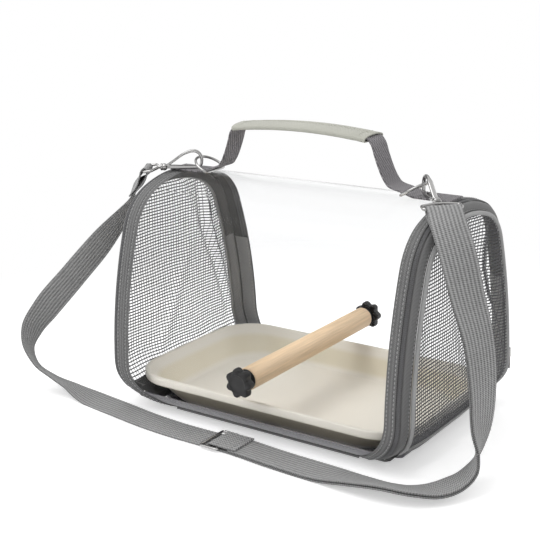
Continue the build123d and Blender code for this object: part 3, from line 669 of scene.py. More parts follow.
def make_materials():
    """Every finish, by the name of its slot."""
    s = settings()
    weave_group()
    grain_group()
    handling_group()
    cloth, moulded = cloth_material, moulded_material
    band, piping, grip = s.band_colour, s.piping_colour, s.grip_colour
    made = {
        "band_fabric": cloth("band_twill", toned(band), 300, 300, 1.0, 0.8, 0.16, depth=0.0005),
        "zip_tape": cloth("zip_tape_cloth", toned(band, 0.75), 700, 500, 0.0, 0.3),
        "gusset_fabric": cloth("gusset_cloth", toned(band, 1.02), 600, 600, 0.5, 0.25, 0.14),
        # the lining is the band cloth painted 1.95 times lighter: painted light against the shade inside the
        # carrier
        "lining": cloth("lining_cloth_painted_lighter", toned(band, 1.95), 600, 600, 0.5, 0.25, 0.14),
        "piping": cloth("piping_cloth", toned(piping), 900, 900, 0.6, 0.2, 0.1, 0.7, 0.00015),
        "cord_piping": cloth("base_piping_cloth", toned(piping, 0.62), 900, 900, 0.6, 0.25, 0.12, 0.6, 0.00015),
        "tub_fabric": cloth("satin_base_cloth", toned(s.base_colour), 900, 450, 0.3, 0.12, 0.1, 0.42, 0.0001,
                            sheen=0.5),
        "mesh": cloth("mesh_thread", (0.085, 0.085, 0.09), 500, 500, 0.0, 0.2, 0.1, 0.6, 0.0001),
        "grip_fabric": cloth("grip_cloth", toned(grip), 700, 700, 0.5, 0.12, 0.12, 0.75, 0.0002),
        "handle_webbing": cloth("handle_webbing", toned(s.handle_colour), 260, 320, 0.5, 1.3, 0.14,
                                depth=0.0005),
        "strap_webbing": cloth("strap_webbing", toned(s.strap_colour), 280, 300, 1.0, 1.2, 0.16, depth=0.0005),
        "board": cloth("board_cloth", (0.06, 0.06, 0.063), 600, 600, 0.0, 0.3, where="Object"),
        "thread": cloth("stitch_thread", toned(band, 2.7), 3000, 900, 0.4, 0.3),
        "pale_thread": cloth("grip_thread", toned(grip, 1.35), 3000, 900),
        "tray_plastic": moulded("tray_plastic", toned(s.tray_colour), 0.42, 0.1, 0.03, depth=0.00002),
        "knob_plastic": moulded("knob_plastic", toned(s.knob_colour), 0.5, 0.1, 0.1, 2.0, depth=0.00004),
        "washer": moulded("washer_rubber", (0.02, 0.02, 0.02), 0.7, 0.1, 0.1, 2.0),
        "stud_steel": moulded("stud_steel", (0.62, 0.61, 0.6), 0.3, 0.1, 0.05, 2.0, 1.0),
        "nickel": moulded("nickel_plate", (0.46, 0.455, 0.45), 0.2, 0.12, 0.06, 3.0, 1.0, 0.00001),
        "zip_teeth": moulded("zip_teeth", (0.13, 0.13, 0.135), 0.4, 0.1, 0.1, 3.0),
        "clear_vinyl": vinyl_material(),
        "dowel_wood": wood_material(toned(s.wood_colour)),
    }
    # painted shade on the tray's walls
    paint_wall_shade(made["tray_plastic"], toned(s.tray_colour))
    return made


# ---------------------------------------------------------------- pieces
class CarrierOperator:
    """What every maker shares."""

    bl_options = {"REGISTER", "UNDO"}


class CARRIER_OT_base(CarrierOperator, bpy.types.Operator):
    """Satin base with its piping, stiff board and end sills"""

    bl_idname = "carrier.make_base"
    bl_label = "Base"

    def execute(self, context):
        self.cloth()
        for name, sign in FACES:
            path = grid(np.linspace(-99.0, 105.0, 60), sign * PIPE_Y, PIPE_Z)
            solid(f"{name}_base_piping", [carry(path, ALONG_Y, circle(PIPE_R, 10))], "carrier", "cord_piping",
                  [f"{name}_edge_piping"])
            seam = []
            for z in (8.2, 17.4):
                y = sign * outline_y(z, 1.3)
                line = grid(np.linspace(-1, 1, 60) * (end_x(z, 34.0, y) - 2), y, z)
                seam.append(stitches(line, [0.0, sign * cos(0.35), -sin(0.35)], 3.4, 0.34))
            solid(f"{name}_base_seam", seam, "carrier", "tub_fabric", finish="thread")
        for name, side in SIDES:
            sill = end_panel(side, 0.25, 11.7, 12, 2.5, 0.3, 1.4)
            lining = end_panel(side, 0.4, 17.0, 12, 7.5, 5.3, 6.1)[0]
            solid(f"{name}_end_sill", [sill, (lining, sill[1], False)], "carrier", "gusset_fabric",
                  [f"{name}_sill"])
        finish_cad("base_board", "board")
        return {"FINISHED"}

    @staticmethod
    def cloth():
        """Cloth round the lower arch, up to the tub's top: it follows the outline inset by 1.35 and lined
        at 2.55, lies flush where the bottom is flat, and puckers by 0.22 * sin * sin between its seams."""
        skin, lined, flat_end = 1.35, 2.55, 134.4
        c, r, n = ARCH
        half = len(r) // 2
        order = np.concatenate([np.arange(half, 0, -1), [0], np.arange(len(r) - 1, half, -1)])
        height = (c + (r[:, None] - skin) * n)[:, 1]
        order = order[height[order] <= TUB_TOP]
        c, r, n = c[order], r[order, None], n[order]
        flat = smoothstep((FLAT_HALF - np.abs(c[:, 0])) / 8.0) * (r[:, 0] == 0)
        outside = c + (r - (skin * (1 - flat))[:, None]) * n
        y, z = there_and_back(outside, c + (r - lined) * n).T
        reach, outer = there_and_back(flat), np.repeat([1.0, 0.0], len(order))
        x = np.linspace(-1, 1, 90)[:, None]
        end = end_x(z, 12.0, y) * (1 - reach) + flat_end * reach
        pucker = 0.22 * np.sin(x * 41 + z * 0.2) * np.sin(x * 17 + 1.3) * outer
        push = pucker * (smoothstep(z / 6.0) * smoothstep((TUB_TOP - z) / 6.0))
        uv = grid(x * 150, there_and_back(lengths(outside))) * 0.001
        points = grid(x * end, y - np.sign(y) * push, z)
        solid("base_cloth", [(points, uv, False)], "carrier", "tub_fabric", ["base_tub"])


class CARRIER_OT_bands(CarrierOperator, bpy.types.Operator):
    """Arched bands, zip tapes, zip teeth and their stitching at both ends"""

    bl_idname = "carrier.make_bands"
    bl_label = "Bands and zips"

    def execute(self, context):
        for name, side in SIDES:
            edge = BAND_EDGE[name]
            back = np.linspace(12.6, edge - 0.55, 28)
            seam = 12.0 + 0.6 * (edge - 12.0)
            face = 0.04 + 0.36 * smoothstep((back - seam) / 0.9) + 0.12 * smoothstep((back - edge + 1.5) / 1.0)
            face += 0.12 * smoothstep((13.4 - back) / 0.8)
            inset, setback = edged(0.65, face, 0.75, np.full(28, 1.18)), edged(12.05, back, edge, back)
            band = round_arch(side, inset, setback, 0.72, flare=BAND_FLARE[name])
            solid(f"{name}_band", [band], "carrier", "band_fabric", [f"{name}_arch_band"], 60)
            seams = [stitches(*arch_line(side, 0.33, seam + 1.9, 3.0), 3.6),
                     stitches(*arch_line(side, 0.04, 14.0, 3.0), 3.6)]
            solid(f"{name}_band_stitches", seams, "carrier", "band_fabric", finish="thread")
            tape = np.linspace(8.3, 18.4, 12)
            inset = edged(1.75, np.full(12, 1.38), 1.75, np.full(12, 2.12))
            strips = [round_arch(side, inset, edged(8.05, tape, 18.7, tape), STRIP_LOW)]
            web = there_and_back(np.linspace(1.6, 7.9, 8))
            corner = round_arch(side, np.repeat([1.45, 2.2], 8), web, STRIP_LOW)
            strips += [stretch_of(corner, lambda y, z: (z < 11.6) & (y * sign > 0)) for _, sign in FACES]
            solid(f"{name}_tape", strips, "carrier", "zip_tape", [f"{name}_zip_tape"], 60)
            self.lining(name, side, edge)
            self.teeth(name, side)
        return {"FINISHED"}

    def lining(self, name, side, edge):
        """Cloth sewn inside the rear half of the frame, from the base up to a hemmed seam."""
        across = there_and_back(np.linspace(9.9, edge - 0.5, 20))
        cloth = []
        for bottom, near, deep in ((LINING_LOW, 2.3, 2.75), (LINING_TOP - 4.0, 2.8, 3.3)):
            strip = round_arch(side, np.repeat([near, deep], 20), across, STRIP_LOW)
            cloth.append(stretch_of(strip, lambda y, z: (y > 0) & (z > bottom) & (z < LINING_TOP)))
        # the lining finish is painted lighter than the band cloth: painted light
        solid(f"{name}_lining", cloth, "carrier", "gusset_fabric", finish="lining")
        seams = []
        for setback in (11.6, edge - 2.2):
            path, out = arch_line(side, 2.77, setback, 3.0)
            kept = (path[:, 1] > 0) & (path[:, 2] > 22.0) & (path[:, 2] < LINING_TOP - 5.0)
            seams.append(stitches(path[kept], -out[kept], 3.6))
        solid(f"{name}_lining_stitches", seams, "carrier", "gusset_fabric", finish="thread")

    def teeth(self, name, side):
        """Two rows of teeth, each an oval bump across the tape: radius * sqrt(1 - u^2) along u = -1..1."""
        rows = []
        for middle, shift in ((9.2, 0.0), (10.7, 0.75)):
            path, out = arch_line(side, 1.25, middle, FILM_LOW)
            s = lengths(path)
            at = np.arange(2.0 + shift, s[-1] - 2, 1.5)
            p, n = sample(at, s, path), unit(sample(at, s, out))
            run = unit(np.gradient(p, axis=0))
            across = unit(np.cross(run, n))
            p, n, run, across = (v[:, None, None] for v in (p, n, run, across))
            u, a = np.linspace(-1, 1, 4), turn(6)
            r = np.sqrt(1.1 - u**2)[:, None, None]
            ring = run * np.cos(a)[:, None] * 0.55 * r + n * np.sin(a)[:, None] * 0.6 * r
            points = p + across * (u * 1.1)[:, None, None] + ring
            rows.append((points, np.zeros(points.shape[:3] + (2,)), False))
        solid(f"{name}_teeth", rows, "carrier", "zip_tape", finish="zip_teeth")


class CARRIER_OT_doors(CarrierOperator, bpy.types.Operator):
    """Mesh doors: gusset, piping and woven mesh at both ends"""

    bl_idname = "carrier.make_doors"
    bl_label = "Doors"

    def execute(self, context):
        for name, side in SIDES:
            body = f"{name}_door"
            a = np.append(0, np.linspace(0, 1, 18))
            outer_inset = 2.5 + 9.0 * a**2.2
            outer_back = 7.7 - 3.55 * np.sin(a * pi / 2) ** 0.9
            outer_back[0] = 9.6
            inner_inset = outer_inset + 1.1
            inner_back = np.minimum(outer_back + 0.9, 9.6)
            inset, setback = there_and_back(outer_inset, inner_inset), there_and_back(outer_back, inner_back)
            gusset = round_arch(side, inset, setback, DOOR_LOW + 0.3)
            solid(f"{name}_gusset", [gusset], body, "gusset_fabric", [f"{name}_door_gusset"], 60)
            inner_inset, inner_back = inner_inset[1:], inner_back[1:]
            inset = there_and_back(inner_inset + 0.2, inner_inset + 0.6)
            setback = there_and_back(inner_back + 0.15, inner_back + 0.5)
            lining = stretch_of(round_arch(side, inset, setback, DOOR_LOW + 0.3),
                                lambda y, z: (y > 0) & (z > LINING_LOW) & (z < LINING_TOP))
            # the lining finish is painted lighter than the band cloth: painted light
            solid(f"{name}_door_lining", [lining], body, "gusset_fabric", finish="lining")
            across, out = circle(2.0, 14).T
            piping = round_arch(side, 12 + across, 2.02 + out, 0, True, 14.3 - across)
            solid(f"{name}_piping", [piping], body, "piping", [f"{name}_door_piping"], 70)
            line = arch_line(side, 9.0, 4.1, DOOR_LOW + 2)[0]
            seam = stitches(line, [side, 0.0, 0.0], 3.4, 0.38)
            solid(f"{name}_gusset_stitches", [seam], body, "gusset_fabric", finish="thread")
            self.weave(name, side, body)
            border = end_panel(side, DOOR_LOW + 0.1, 21.0, 10, 10.5, 0.9, 2.9)
            solid(f"{name}_door_border", [border], body, "gusset_fabric")
        return {"FINISHED"}

    @staticmethod
    def drape(side, y, z):
        """How far the mesh hangs in from its flat plane: soft ridges, each depth * exp(-(distance /
        width)^2)."""
        edge = np.clip((outline_y(z, 14.0) - np.abs(y)) / 18.0, 0, 1) * np.clip((z - 20) / 25.0, 0, 1)
        slant = y + 0.34 * (z - 120)
        crease = y - np.interp(z, (50.0, 67.0, 107.0, 124.0, 152.0), (92.0, 86.0, 70.5, 61.0, 51.0))
        first = 4.2 * np.exp(-((crease / 5.0) ** 2)) - 2.6 * np.exp(-(((crease + 9) / 6.0) ** 2))
        second = 1.3 * np.exp(-(((slant - 61 + 0.1 * z) / 7.0) ** 2))
        third = 1.6 * np.exp(-(((y - 0.55 * (z - 95) * -side) / 8.0) ** 2)) * np.exp(-(((z - 70) / 60.0) ** 2))
        slow = 1.4 * np.sin(y / 26.0 + z / 48.0) * np.sin(z / 37.0 + 0.6)
        return 1.35 * edge * (1.5 + first + second + third + slow)

    def weave(self, name, side, body):
        """Mesh of flat threads: rows at equal heights and columns at equal depths, each moved in by the
        drape. A row wavers in height by 0.35 * sin * sin, and a column in depth by 0.3 * sin."""
        s = settings()
        pitch, thread = s.mesh_pitch * 1000, s.mesh_thread * 1000
        a, b = np.array([(-0.5, -0.5), (0.5, -0.5), (0.5, 0.5), (-0.5, 0.5)]).T
        z = np.arange(*MESH_ROWS, pitch)[:, None]
        y = outline_y(z, MESH_INSET) * np.linspace(-1, 1, 64)
        height = z + 0.35 * np.sin(y / 9.0 + z * 0.05) * np.sin(z / 31.0)
        x = side * end_x(height, 2.0 + self.drape(side, y, z), y)
        ring = grid(a * 0.45 * -side, 0 * a, b * thread)
        uv = grid(y[..., None], z[..., None] + ring[:, 2]) * 0.001
        rows = grid(x, y, height)[:, :, None] + ring, uv, False
        columns = np.arange(-88, 88.1, pitch * 1.2)
        depth = np.abs(columns)
        outline = np.array(half_outline(MESH_INSET))
        wall = outline[1] > WIDEST_Z
        top = np.interp(depth, *outline[:, wall][:, ::-1])
        low = np.where(depth > FLAT_HALF, np.interp(depth, *outline[:, ~wall]), MESH_LOW)
        low = np.maximum(low, MESH_LOW)
        keep = top - low > 12
        columns, top, low = (v[keep, None] for v in (columns, top, low))
        z = low + (top - low) * np.linspace(0, 1, 60)
        y = columns + 0.3 * np.sin(z / 11.0 + columns)
        x = side * end_x(z, 1.75 + self.drape(side, y, z), y)
        ring = grid(a * 0.4 * -side, b * thread * 0.38, 0 * a)
        uv = grid(y[..., None] + ring[:, 1], z[..., None]) * 0.001
        upright = grid(x, y, z)[:, :, None] + ring, uv, False
        solid(f"{name}_mesh", [rows, upright], body, "mesh", [f"{name}_door_mesh"])


# the tray's lip from its outer wall over the rim: insets in x and y, height from the rim, corner radius
TRAY_LIP = (
    (3.2, 3.1, -2.5, 39.9), (2.2, 2.2, -2.0, 40.8), (1.8, 1.8, -2.6, 41.2), (1.75, 1.75, -7.2, 41.2),
    (1.3, 1.3, -7.8, 41.7), (0.7, 0.7, -7.95, 42.3), (0.15, 0.15, -7.5, 42.8), (0.0, 0.0, -6.6, 43.0),
    (0.0, 0.0, -1.3, 43.0), (0.3, 0.3, -0.5, 42.7), (1.2, 1.2, -0.05, 41.8), (2.4, 2.4, 0.0, 40.6),
    (3.8, 3.8, -0.2, 39.6), (4.9, 4.8, -1.0, 38.6), (5.7, 5.4, -2.4, 38.2),
)


class CARRIER_OT_tray(CarrierOperator, bpy.types.Operator):
    """Moulded tray with a rolled lip and rounded floor"""

    bl_idname = "carrier.make_tray"
    bl_label = "Tray"

    def execute(self, context):
        """Rounded rectangles of (inset in x, inset in y, height, corner radius), from under the floor up
        the outside, over the lip and down the inside to the middle of the floor."""
        floor, rim, drop, wall = 5.77, 34.74, 29.0, 1.8
        lean = lambda t: np.array([3 + 23 * t, 3 + 16 * t])
        rings = [(*(lean(1.0) + 3), floor, 37.0), (*(lean(1.0) + 0.8), floor + 0.25, 39.2),
                 (*(lean(0.97) + 0.1), floor + 1.1, 39.9)]
        rings += [(*lean(t), rim - drop * t, 40.0) for t in (0.9, 0.5, 0.12)]
        rings += [(ix, iy, rim + z, radius) for ix, iy, z, radius in TRAY_LIP]
        rings += [(*(lean(t) + wall), rim - drop * t, 38.2) for t in (0.15, 0.3, 0.45, 0.6, 0.75)]
        inner, foot = floor + wall, 0.8
        from_x, from_y = lean(foot) + wall
        for t in np.linspace(0.15, 1, 8):
            reach = 6.0 * sin(t * pi / 2)
            rise = (rim - drop * foot - inner) * (1 - sin(t * pi / 2)) ** 1.35
            rings.append((from_x + reach, from_y + reach * 0.85, inner + rise, 38.2 - 2 * t))
        rings += [(from_x + share, from_y + share * 0.8, inner, 36.0) for share in (24.0, 38.0, 55.0, 70.0)]
        half_long, half_deep, n = 153, 92, 30
        a = np.linspace(0, pi / 2, 10)
        points = []
        for ix, iy, z, radius in rings:
            hx, hy = half_long - ix, half_deep - iy
            radius = min(radius, hy - 0.5)
            quarter = grid(hx - radius + radius * np.cos(a), hy - radius + radius * np.sin(a))
            top = grid(np.linspace(hx - radius, -(hx - radius), n)[1:-1], hy)
            left = grid(-hx, np.linspace(hy - radius, -(hy - radius), n)[1:-1])
            loop = np.concatenate([quarter, top, quarter[::-1] * (-1, 1), left])
            points.append(grid(*np.concatenate([loop, -loop]).T, z))
        solid("feeding_tray", [plain(np.array(points))], "tray", "tray_plastic", ["tray"], 50)
        return {"FINISHED"}


def lathe(rings, side, count=56):
    """Rings of (radius, depth, lobing) turned about the perch; radius falls between lobes by
    2.8 * lobing * ((1 - cos(7 a)) / 2)^1.15."""
    a = turn(count)
    radius, depth, lobing = (v[:, None] for v in np.array(rings, float).T)
    r = radius - lobing * (((1 - np.cos(7 * a)) / 2) ** 1.15 * 2.8)
    return grid(r * np.cos(a), side * depth, PERCH_Z + r * np.sin(a)), grid(depth * 0.001, a * 0.01), False


# the knob's outline: radius, depth beyond its inner face, lobing
KNOB = (
    (2.6, 7.6, 0), (2.6, 0.3, 0), (2.9, 0, 0), (6.1, 0, 0), (6.5, 0.4, 0), (6.5, 2.6, 0), (6.9, 3.0, 0),
    (8.5, 3.02, 0.3), (12.6, 3.1, 1.0), (13.4, 3.4, 1.0), (13.9, 4.3, 1.0), (14.0, 6.0, 1.0),
    (14.0, 8.6, 1.0), (13.8, 10.0, 1.0), (13.2, 11.0, 1.0), (12.2, 11.6, 0.95), (10.6, 11.95, 0.6),
    (9.2, 12.0, 0.1), (8.6, 11.9, 0), (8.1, 11.3, 0), (7.6, 11.1, 0), (5.0, 11.05, 0), (2.0, 11.2, 0),
    (0.6, 11.25, 0),
)


class CARRIER_OT_perch(CarrierOperator, bpy.types.Operator):
    """Wooden perch with its two lobed knobs"""

    bl_idname = "carrier.make_perch"
    bl_label = "Perch"

    def execute(self, context):
        end = PERCH_END
        y = np.linspace(-end + 1.2, end - 1.2, 40)
        rings = [(9.4, -end, 0), (10.0, -end + 0.25, 0), (10.38, -end + 0.7, 0)]
        rings += [(10.5 - 0.06 * sin(at / 23.0) ** 2, at, 0) for at in y]
        rings += [(10.38, end - 0.7, 0), (10.0, end - 0.25, 0), (9.4, end, 0)]
        solid("perch_rod", [lathe(rings, 1, 48)], "perch", "dowel_wood", ["perch_dowel"], 50)
        knob = [(radius, KNOB_FACE + depth, lobing) for radius, depth, lobing in KNOB]
        for name, sign in FACES:
            solid(f"{name}_knob_grip", [lathe(knob, sign, 98)], f"{name}_knob", "knob_plastic",
                  [f"{name}_knob"], 40)
            finish_cad(f"{name}_perch_washer", "washer")
            finish_cad(f"{name}_perch_stud", "stud_steel")
        return {"FINISHED"}


# one leg of the handle's webbing: distance from the middle, height
LEG = (
    (0.6, 273.0), (30, 272.2), (55, 270.4), (68, 268.9), (73.0, 267.4), (76.4, 263.4), (79.8, 254),
    (83.9, 243.4), (88.9, 233.6), (93.4, 228.3), (98.5, 226.4), (104, 225.25), (110, 223.45),
    (117, 221.35), (124, 221.08), (138, 221.06), (152.4, 221.06),
)


def oval(w, h, power, count=60):
    """Closed curve |y/w|^p + |z/h|^p = 1."""
    c, s = np.cos(turn(count)), np.sin(turn(count))
    k = (np.abs(c) ** power + np.abs(s) ** power) ** (-1 / power)
    return grid(w * k * c, h * k * s)


class CARRIER_OT_handle(CarrierOperator, bpy.types.Operator):
    """Handle sleeve, its webbing and the sewn tabs"""

    bl_idname = "carrier.make_handle"
    bl_label = "Handle"

    def execute(self, context):
        a = np.linspace(-GRIP_HALF, GRIP_HALF, 70)
        path = grid(GRIP_R * np.sin(a), 0, GRIP_Z + GRIP_R * np.cos(a))
        self.sleeve(path, grid(np.sin(a), 0, np.cos(a)))
        for name, side in SIDES:
            path = spline([(side * x, 0.0, z) for x, z in LEG], 150)
            strip = carry(path, ALONG_Y, flat_oval(25.0, 1.75, 25, 7, 0.12))
            replaced = [f"{name}_handle_leg", f"{name}_handle_tab"] + (["grip_webbing"] if side < 0 else [])
            webbing = solid(f"{name}_handle_webbing", [strip], None, "handle_webbing", replaced, 50)
            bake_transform(webbing)
            a, b, c, d = [(x, y) for y in (-TAB_HALF, TAB_HALF) for x in (TAB_IN, TAB_OUT)]
            box = (a, b, d, c, a, d, b, c)
            seams = []
            for (x0, y0), (x1, y1) in zip(box, box[1:]):
                line = grid(side * np.linspace(x0, x1, 20), np.linspace(y0, y1, 20), TAB_Z)
                seams.append(stitches(line, UPWARD, 3.1, 0.28))
            solid(f"{name}_tab_stitches", seams, "carrier", "handle_webbing", finish="thread")
        return {"FINISHED"}

    @staticmethod
    def sleeve(path, out):
        """Flat oval sleeve, open at its ends, with a tuck 0.22 deep under each end's stitches, a groove
        0.35 deep along the middle of its top, and edges that droop by 1.5 * (y/w)^2."""
        wide, high, power, sag = 16.4, 3.0, 3.6, 1.5
        outer, inner = oval(wide, high, power), oval(15.1, 1.9, power)
        ends = np.minimum(np.arange(70), np.arange(70)[::-1])
        tuck = 0.22 * np.exp(-(((ends - 4.2) / 0.9) ** 2))[:, None] * np.sign(outer[:, 1]) * -1
        crown = outer + grid(0, tuck)
        crown[..., 1] -= 0.35 * np.exp(-((outer[:, 0] / 0.9) ** 2)) * (outer[:, 1] > 0)
        droop = np.array([0.0, -sag]) * (outer[:, :1] / wide) ** 2
        place = lambda p: path[:, None] + ALONG_Y * p[..., :1] + out[:, None] * p[..., 1:]
        points = there_and_back(place(crown + droop), place(np.broadcast_to(inner + droop, crown.shape)))
        uv = grid(there_and_back(lengths(path))[:, None] * 0.001, turn(60) * 0.006)
        uv = np.concatenate([uv, uv[:1]])
        solid("grip_sleeve", [(points, uv, True)], "handle", "grip_fabric", ["grip_cover"], 50)
        seams = [stitches(path + out * 2.98 + y * ALONG_Y, out, 3.3, 0.4) for y in (-1.9, 1.9)]
        y = np.linspace(-13.6, 13.6, 30)
        lift = high * (1 - np.abs(y / wide) ** power) ** (1 / power) - 0.1
        for k in (4, 65):
            for sign in (1, -1):
                line = path[k] + np.outer(sign * lift - sag * (y / wide) ** 2, out[k]) + np.outer(y, ALONG_Y)
                seams.append(stitches(line, sign * out[k], 3.0, 0.28))
        solid("grip_stitches", seams, "handle", "grip_fabric", finish="pale_thread")


def swivel_frame(side):
    """Swivel point, direction to the hook's bow, direction across it, and up."""
    swivel = np.array(SWIVEL[side])
    along = unit(np.array([side * BOW_X - swivel[0], BOW_Y - swivel[1], 0.0]))
    return swivel, along, np.cross(along, UPWARD), UPWARD


# the hook's bow from the swivel: distances along the hook, up and across
HOOK = ((5.0, 0.3, 0), (8.4, 2.6, 0), (12.5, 5.4, 0), (26.2, 14.0, 0), (31.4, 15.6, 0), (35.6, 15.4, 0),
        (39.2, 13.1, 0), (41.0, 9.6, 0), (41.0, 4.4, 0), (40.3, 2.0, 0), (39.4, 0.7, 0))
# the swivel: radius, distance along the hook
SWIVEL_BALL = ((2.0, 0.3), (3.1, 0.32), (3.45, 0.7), (3.5, 1.4), (3.3, 2.1), (3.05, 2.4), (3.3, 2.7),
               (3.5, 3.3), (3.5, 4.5), (3.2, 5.4), (2.6, 6.1), (1.8, 6.6), (0.8, 6.8))
# a rivet head: radius, distance from the hook's middle
RIVET = ((1.18, 2.44), (1.6, 2.45), (1.55, 2.75), (1.3, 2.95), (0.5, 3.0))


class CARRIER_OT_metal(CarrierOperator, bpy.types.Operator):
    """Snap hooks, gates, rings, strap eyes, slider and zip sliders"""

    bl_idname = "carrier.make_metal"
    bl_label = "Metal parts"

    def execute(self, context):
        for name, side in SIDES:
            o, along, across, up = swivel_frame(side)

            def world(*uvw):
                """Points from distances along the hook, up and across it."""
                u, v, w = (part[..., None] for part in np.broadcast_arrays(*uvw))
                return o + u * along + v * up + w * across

            parts = [self.bow(world, across), *self.swivel(world)]
            solid(f"{name}_snap_hook", parts, f"{name}_hook", "nickel", [f"{name}_hook_body"], 50)
            solid(f"{name}_gate_blade", [self.gate(world)], f"{name}_gate", "nickel", [f"{name}_hook_gate"], 40)
            for node in ("d_ring", "strap_eye", "zip_slider", "zip_pull"):
                finish_cad(f"{name}_{node}", "nickel")
        self.strap_slider()
        return {"FINISHED"}

    @staticmethod
    def bow(world, across):
        """The hook's bow: a rounded bar |a|^p + |b|^p = 1 along its curve, widest behind the gate."""
        path = world(*spline(HOOK, 90).T)
        s = lengths(path) / lengths(path)[-1]
        bulge = smoothstep(s / 0.1) * smoothstep((0.52 - s) / 0.1)
        taper = 1 - 0.25 * smoothstep((s - 0.94) / 0.06)
        a, b = oval(1.0, 1.0, 2.6, 18).T
        profile = grid(a * ((1.6 + 0.75 * bulge) * taper)[:, None], b * ((1.55 - 0.3 * bulge) * taper)[:, None])
        return carry(path, across, profile)

    @staticmethod
    def swivel(world):
        """Swivel turned about the hook's run, with the gate's pin and its rivet heads."""
        a = turn(28)
        r, d = np.array(SWIVEL_BALL).T[..., None]
        ball = world(d, r * np.cos(a), r * np.sin(a))
        pin = lambda r, w: world(RIVET_U + r * np.cos(a), RIVET_V + r * np.sin(a), w)
        neck = pin(2.0, np.array([-1.55, -1.4, 1.4, 1.55])[:, None])
        r, w = np.array([(r, -w) for r, w in RIVET[::-1]] + list(RIVET)).T[..., None]
        return [plain(part) for part in (ball, neck, pin(r, w))]

    @staticmethod
    def gate(world):
        """The gate: a folded channel whose walls narrow from the pin to the tip and round over the pin."""
        u = np.linspace(7.1, 37.4, 40)[:, None]
        low = -1.26 + 0.45 * smoothstep((u - 14) / 20)
        ear = np.sqrt(np.clip(1 - ((np.clip(u, 0, 8.6) - 8.6) / 1.55) ** 2, 0.02, 1))
        top = low + (3.0 - 0.8 * smoothstep((u - 12) / 18)) * ear
        wide, wall, edge = 2.5, 0.78, 0.45
        shape = [(-wide, 1), (-wide, 0.5), (-wide, 0.16), (-wide + edge, 0.0), (0, 0.0),
                 (wide - edge, 0.0), (wide, 0.16), (wide, 0.5), (wide, 1),
                 (wide - wall, 1), (wide - wall, 0.5), (wide - wall, 0.28), (0, 0.27),
                 (-wide + wall, 0.28), (-wide + wall, 0.5), (-wide + wall, 1)]
        w, h = np.array(shape).T
        return plain(world(u, low + (top - low) * h, w))

    @staticmethod
    def strap_slider():
        """Three-bar slider: a rounded frame of round bar with a middle bar, heights 2.05 to 4.45."""
        r, hx, hy, corner = 1.18, 9.2, 17.45, 2.6
        a = np.linspace(0, pi / 2, 7)
        quarter = grid(hx - corner + corner * np.cos(a), hy - corner + corner * np.sin(a))
        loop = np.concatenate([quarter, quarter[::-1] * (-1, 1), -quarter, quarter[::-1] * (1, -1)])
        path = grid(loop[:, 0] + SLIDER_X, loop[:, 1] + FRONT_Y, SLIDER_Z)
        ring = carry(path, UPWARD, circle(r) * (1, 1.22), True)
        path = grid(SLIDER_X, FRONT_Y + np.linspace(-hy, hy, 12), SLIDER_Z)
        bar = carry(path, UPWARD, circle(r * 0.98))
        solid("slider_frame", [ring, bar], "slider", "nickel", ["strap_slider"], 50)


# the strap's middle line: x, y, z and the direction of its width
LEFT_FALL = np.array([
    (-175, -37, 206, -0.5, 0.8, 0.3), (-184, -44, 185, -0.35, 0.8, -0.3),
    (-204, -62, 152, 0.05, 0.72, -0.69), (-230, -79, 117, 0.18, 0.67, -0.72),
    (-256, -96, 82, 0.2, 0.65, -0.73), (-266, -107, 62, 0.0, 0.83, -0.55),
    (-266, -114, 44, -0.4, 0.83, -0.39), (-256, -115, 28, -0.6, 0.74, -0.3),
    (-240, -109, 16, -0.6, 0.75, -0.27), (-219, -103, 7, -0.5, 0.85, -0.15),
    (-195, -104, 1.7, -0.2, 0.98, 0.0), (-144, -111, 1.05, 0.1, 1.0, 0.0),
    (-107, -116, 1.02, 0.05, 1.0, 0.0), (-70, -118.5, 1.0, 0.0, 1.0, 0.0),
    (-34, -118.5, 1.0, 0.0, 1.0, 0.0),
])
RIGHT_RUN = np.array([
    (1.6, -118.5, 2.2, 0.0, 1.0, 0.0), (45, -122, 2.2, 0.0, 1.0, 0.0),
    (98, -124, 2.6, 0.0, 1.0, -0.02), (130, -127, 6.2, -0.1, 0.97, -0.22),
    (158, -127, 8.6, -0.25, 0.91, -0.33), (178, -121, 7.8, -0.55, 0.79, -0.25),
    (191, -110, 6.4, -0.72, 0.67, -0.14), (202, -93, 8.8, -0.8, 0.57, -0.17),
    (208, -79, 15, -0.7, 0.62, -0.33), (210, -70, 25, -0.43, 0.78, -0.44),
    (208.5, -61, 43, 0.02, 0.93, -0.35), (205, -51, 78, 0.32, 0.92, -0.24),
    (199, -50, 121, 0.45, 0.89, -0.05), (190, -51, 153, 0.57, 0.81, 0.1),
    (181, -56, 195, 0.75, 0.66, 0.0), (172, -51, 211, 0.72, 0.69, 0.0),
])


def eye_bar(side):
    """Middle of the strap eye's far bar, and the direction along it."""
    o, along, _, up = swivel_frame(side)
    away = -along * cos(EYE_DROOP) - up * sin(EYE_DROOP)
    return o + away * EYE_REACH, np.cross(up, along) * -side


def layer(k, step):
    """Knots of point and width moved off the strap's middle by step, along run x width."""
    ahead, behind = np.roll(k, -1, 0), np.roll(k, 1, 0)
    ahead[-1], behind[0] = k[-1], k[0]
    run = unit(ahead[:, :3] - behind[:, :3])
    off = unit(np.cross(run, k[:, 3:]))
    return np.column_stack([k[:, :3] + off * step, unit(np.cross(off, run))])


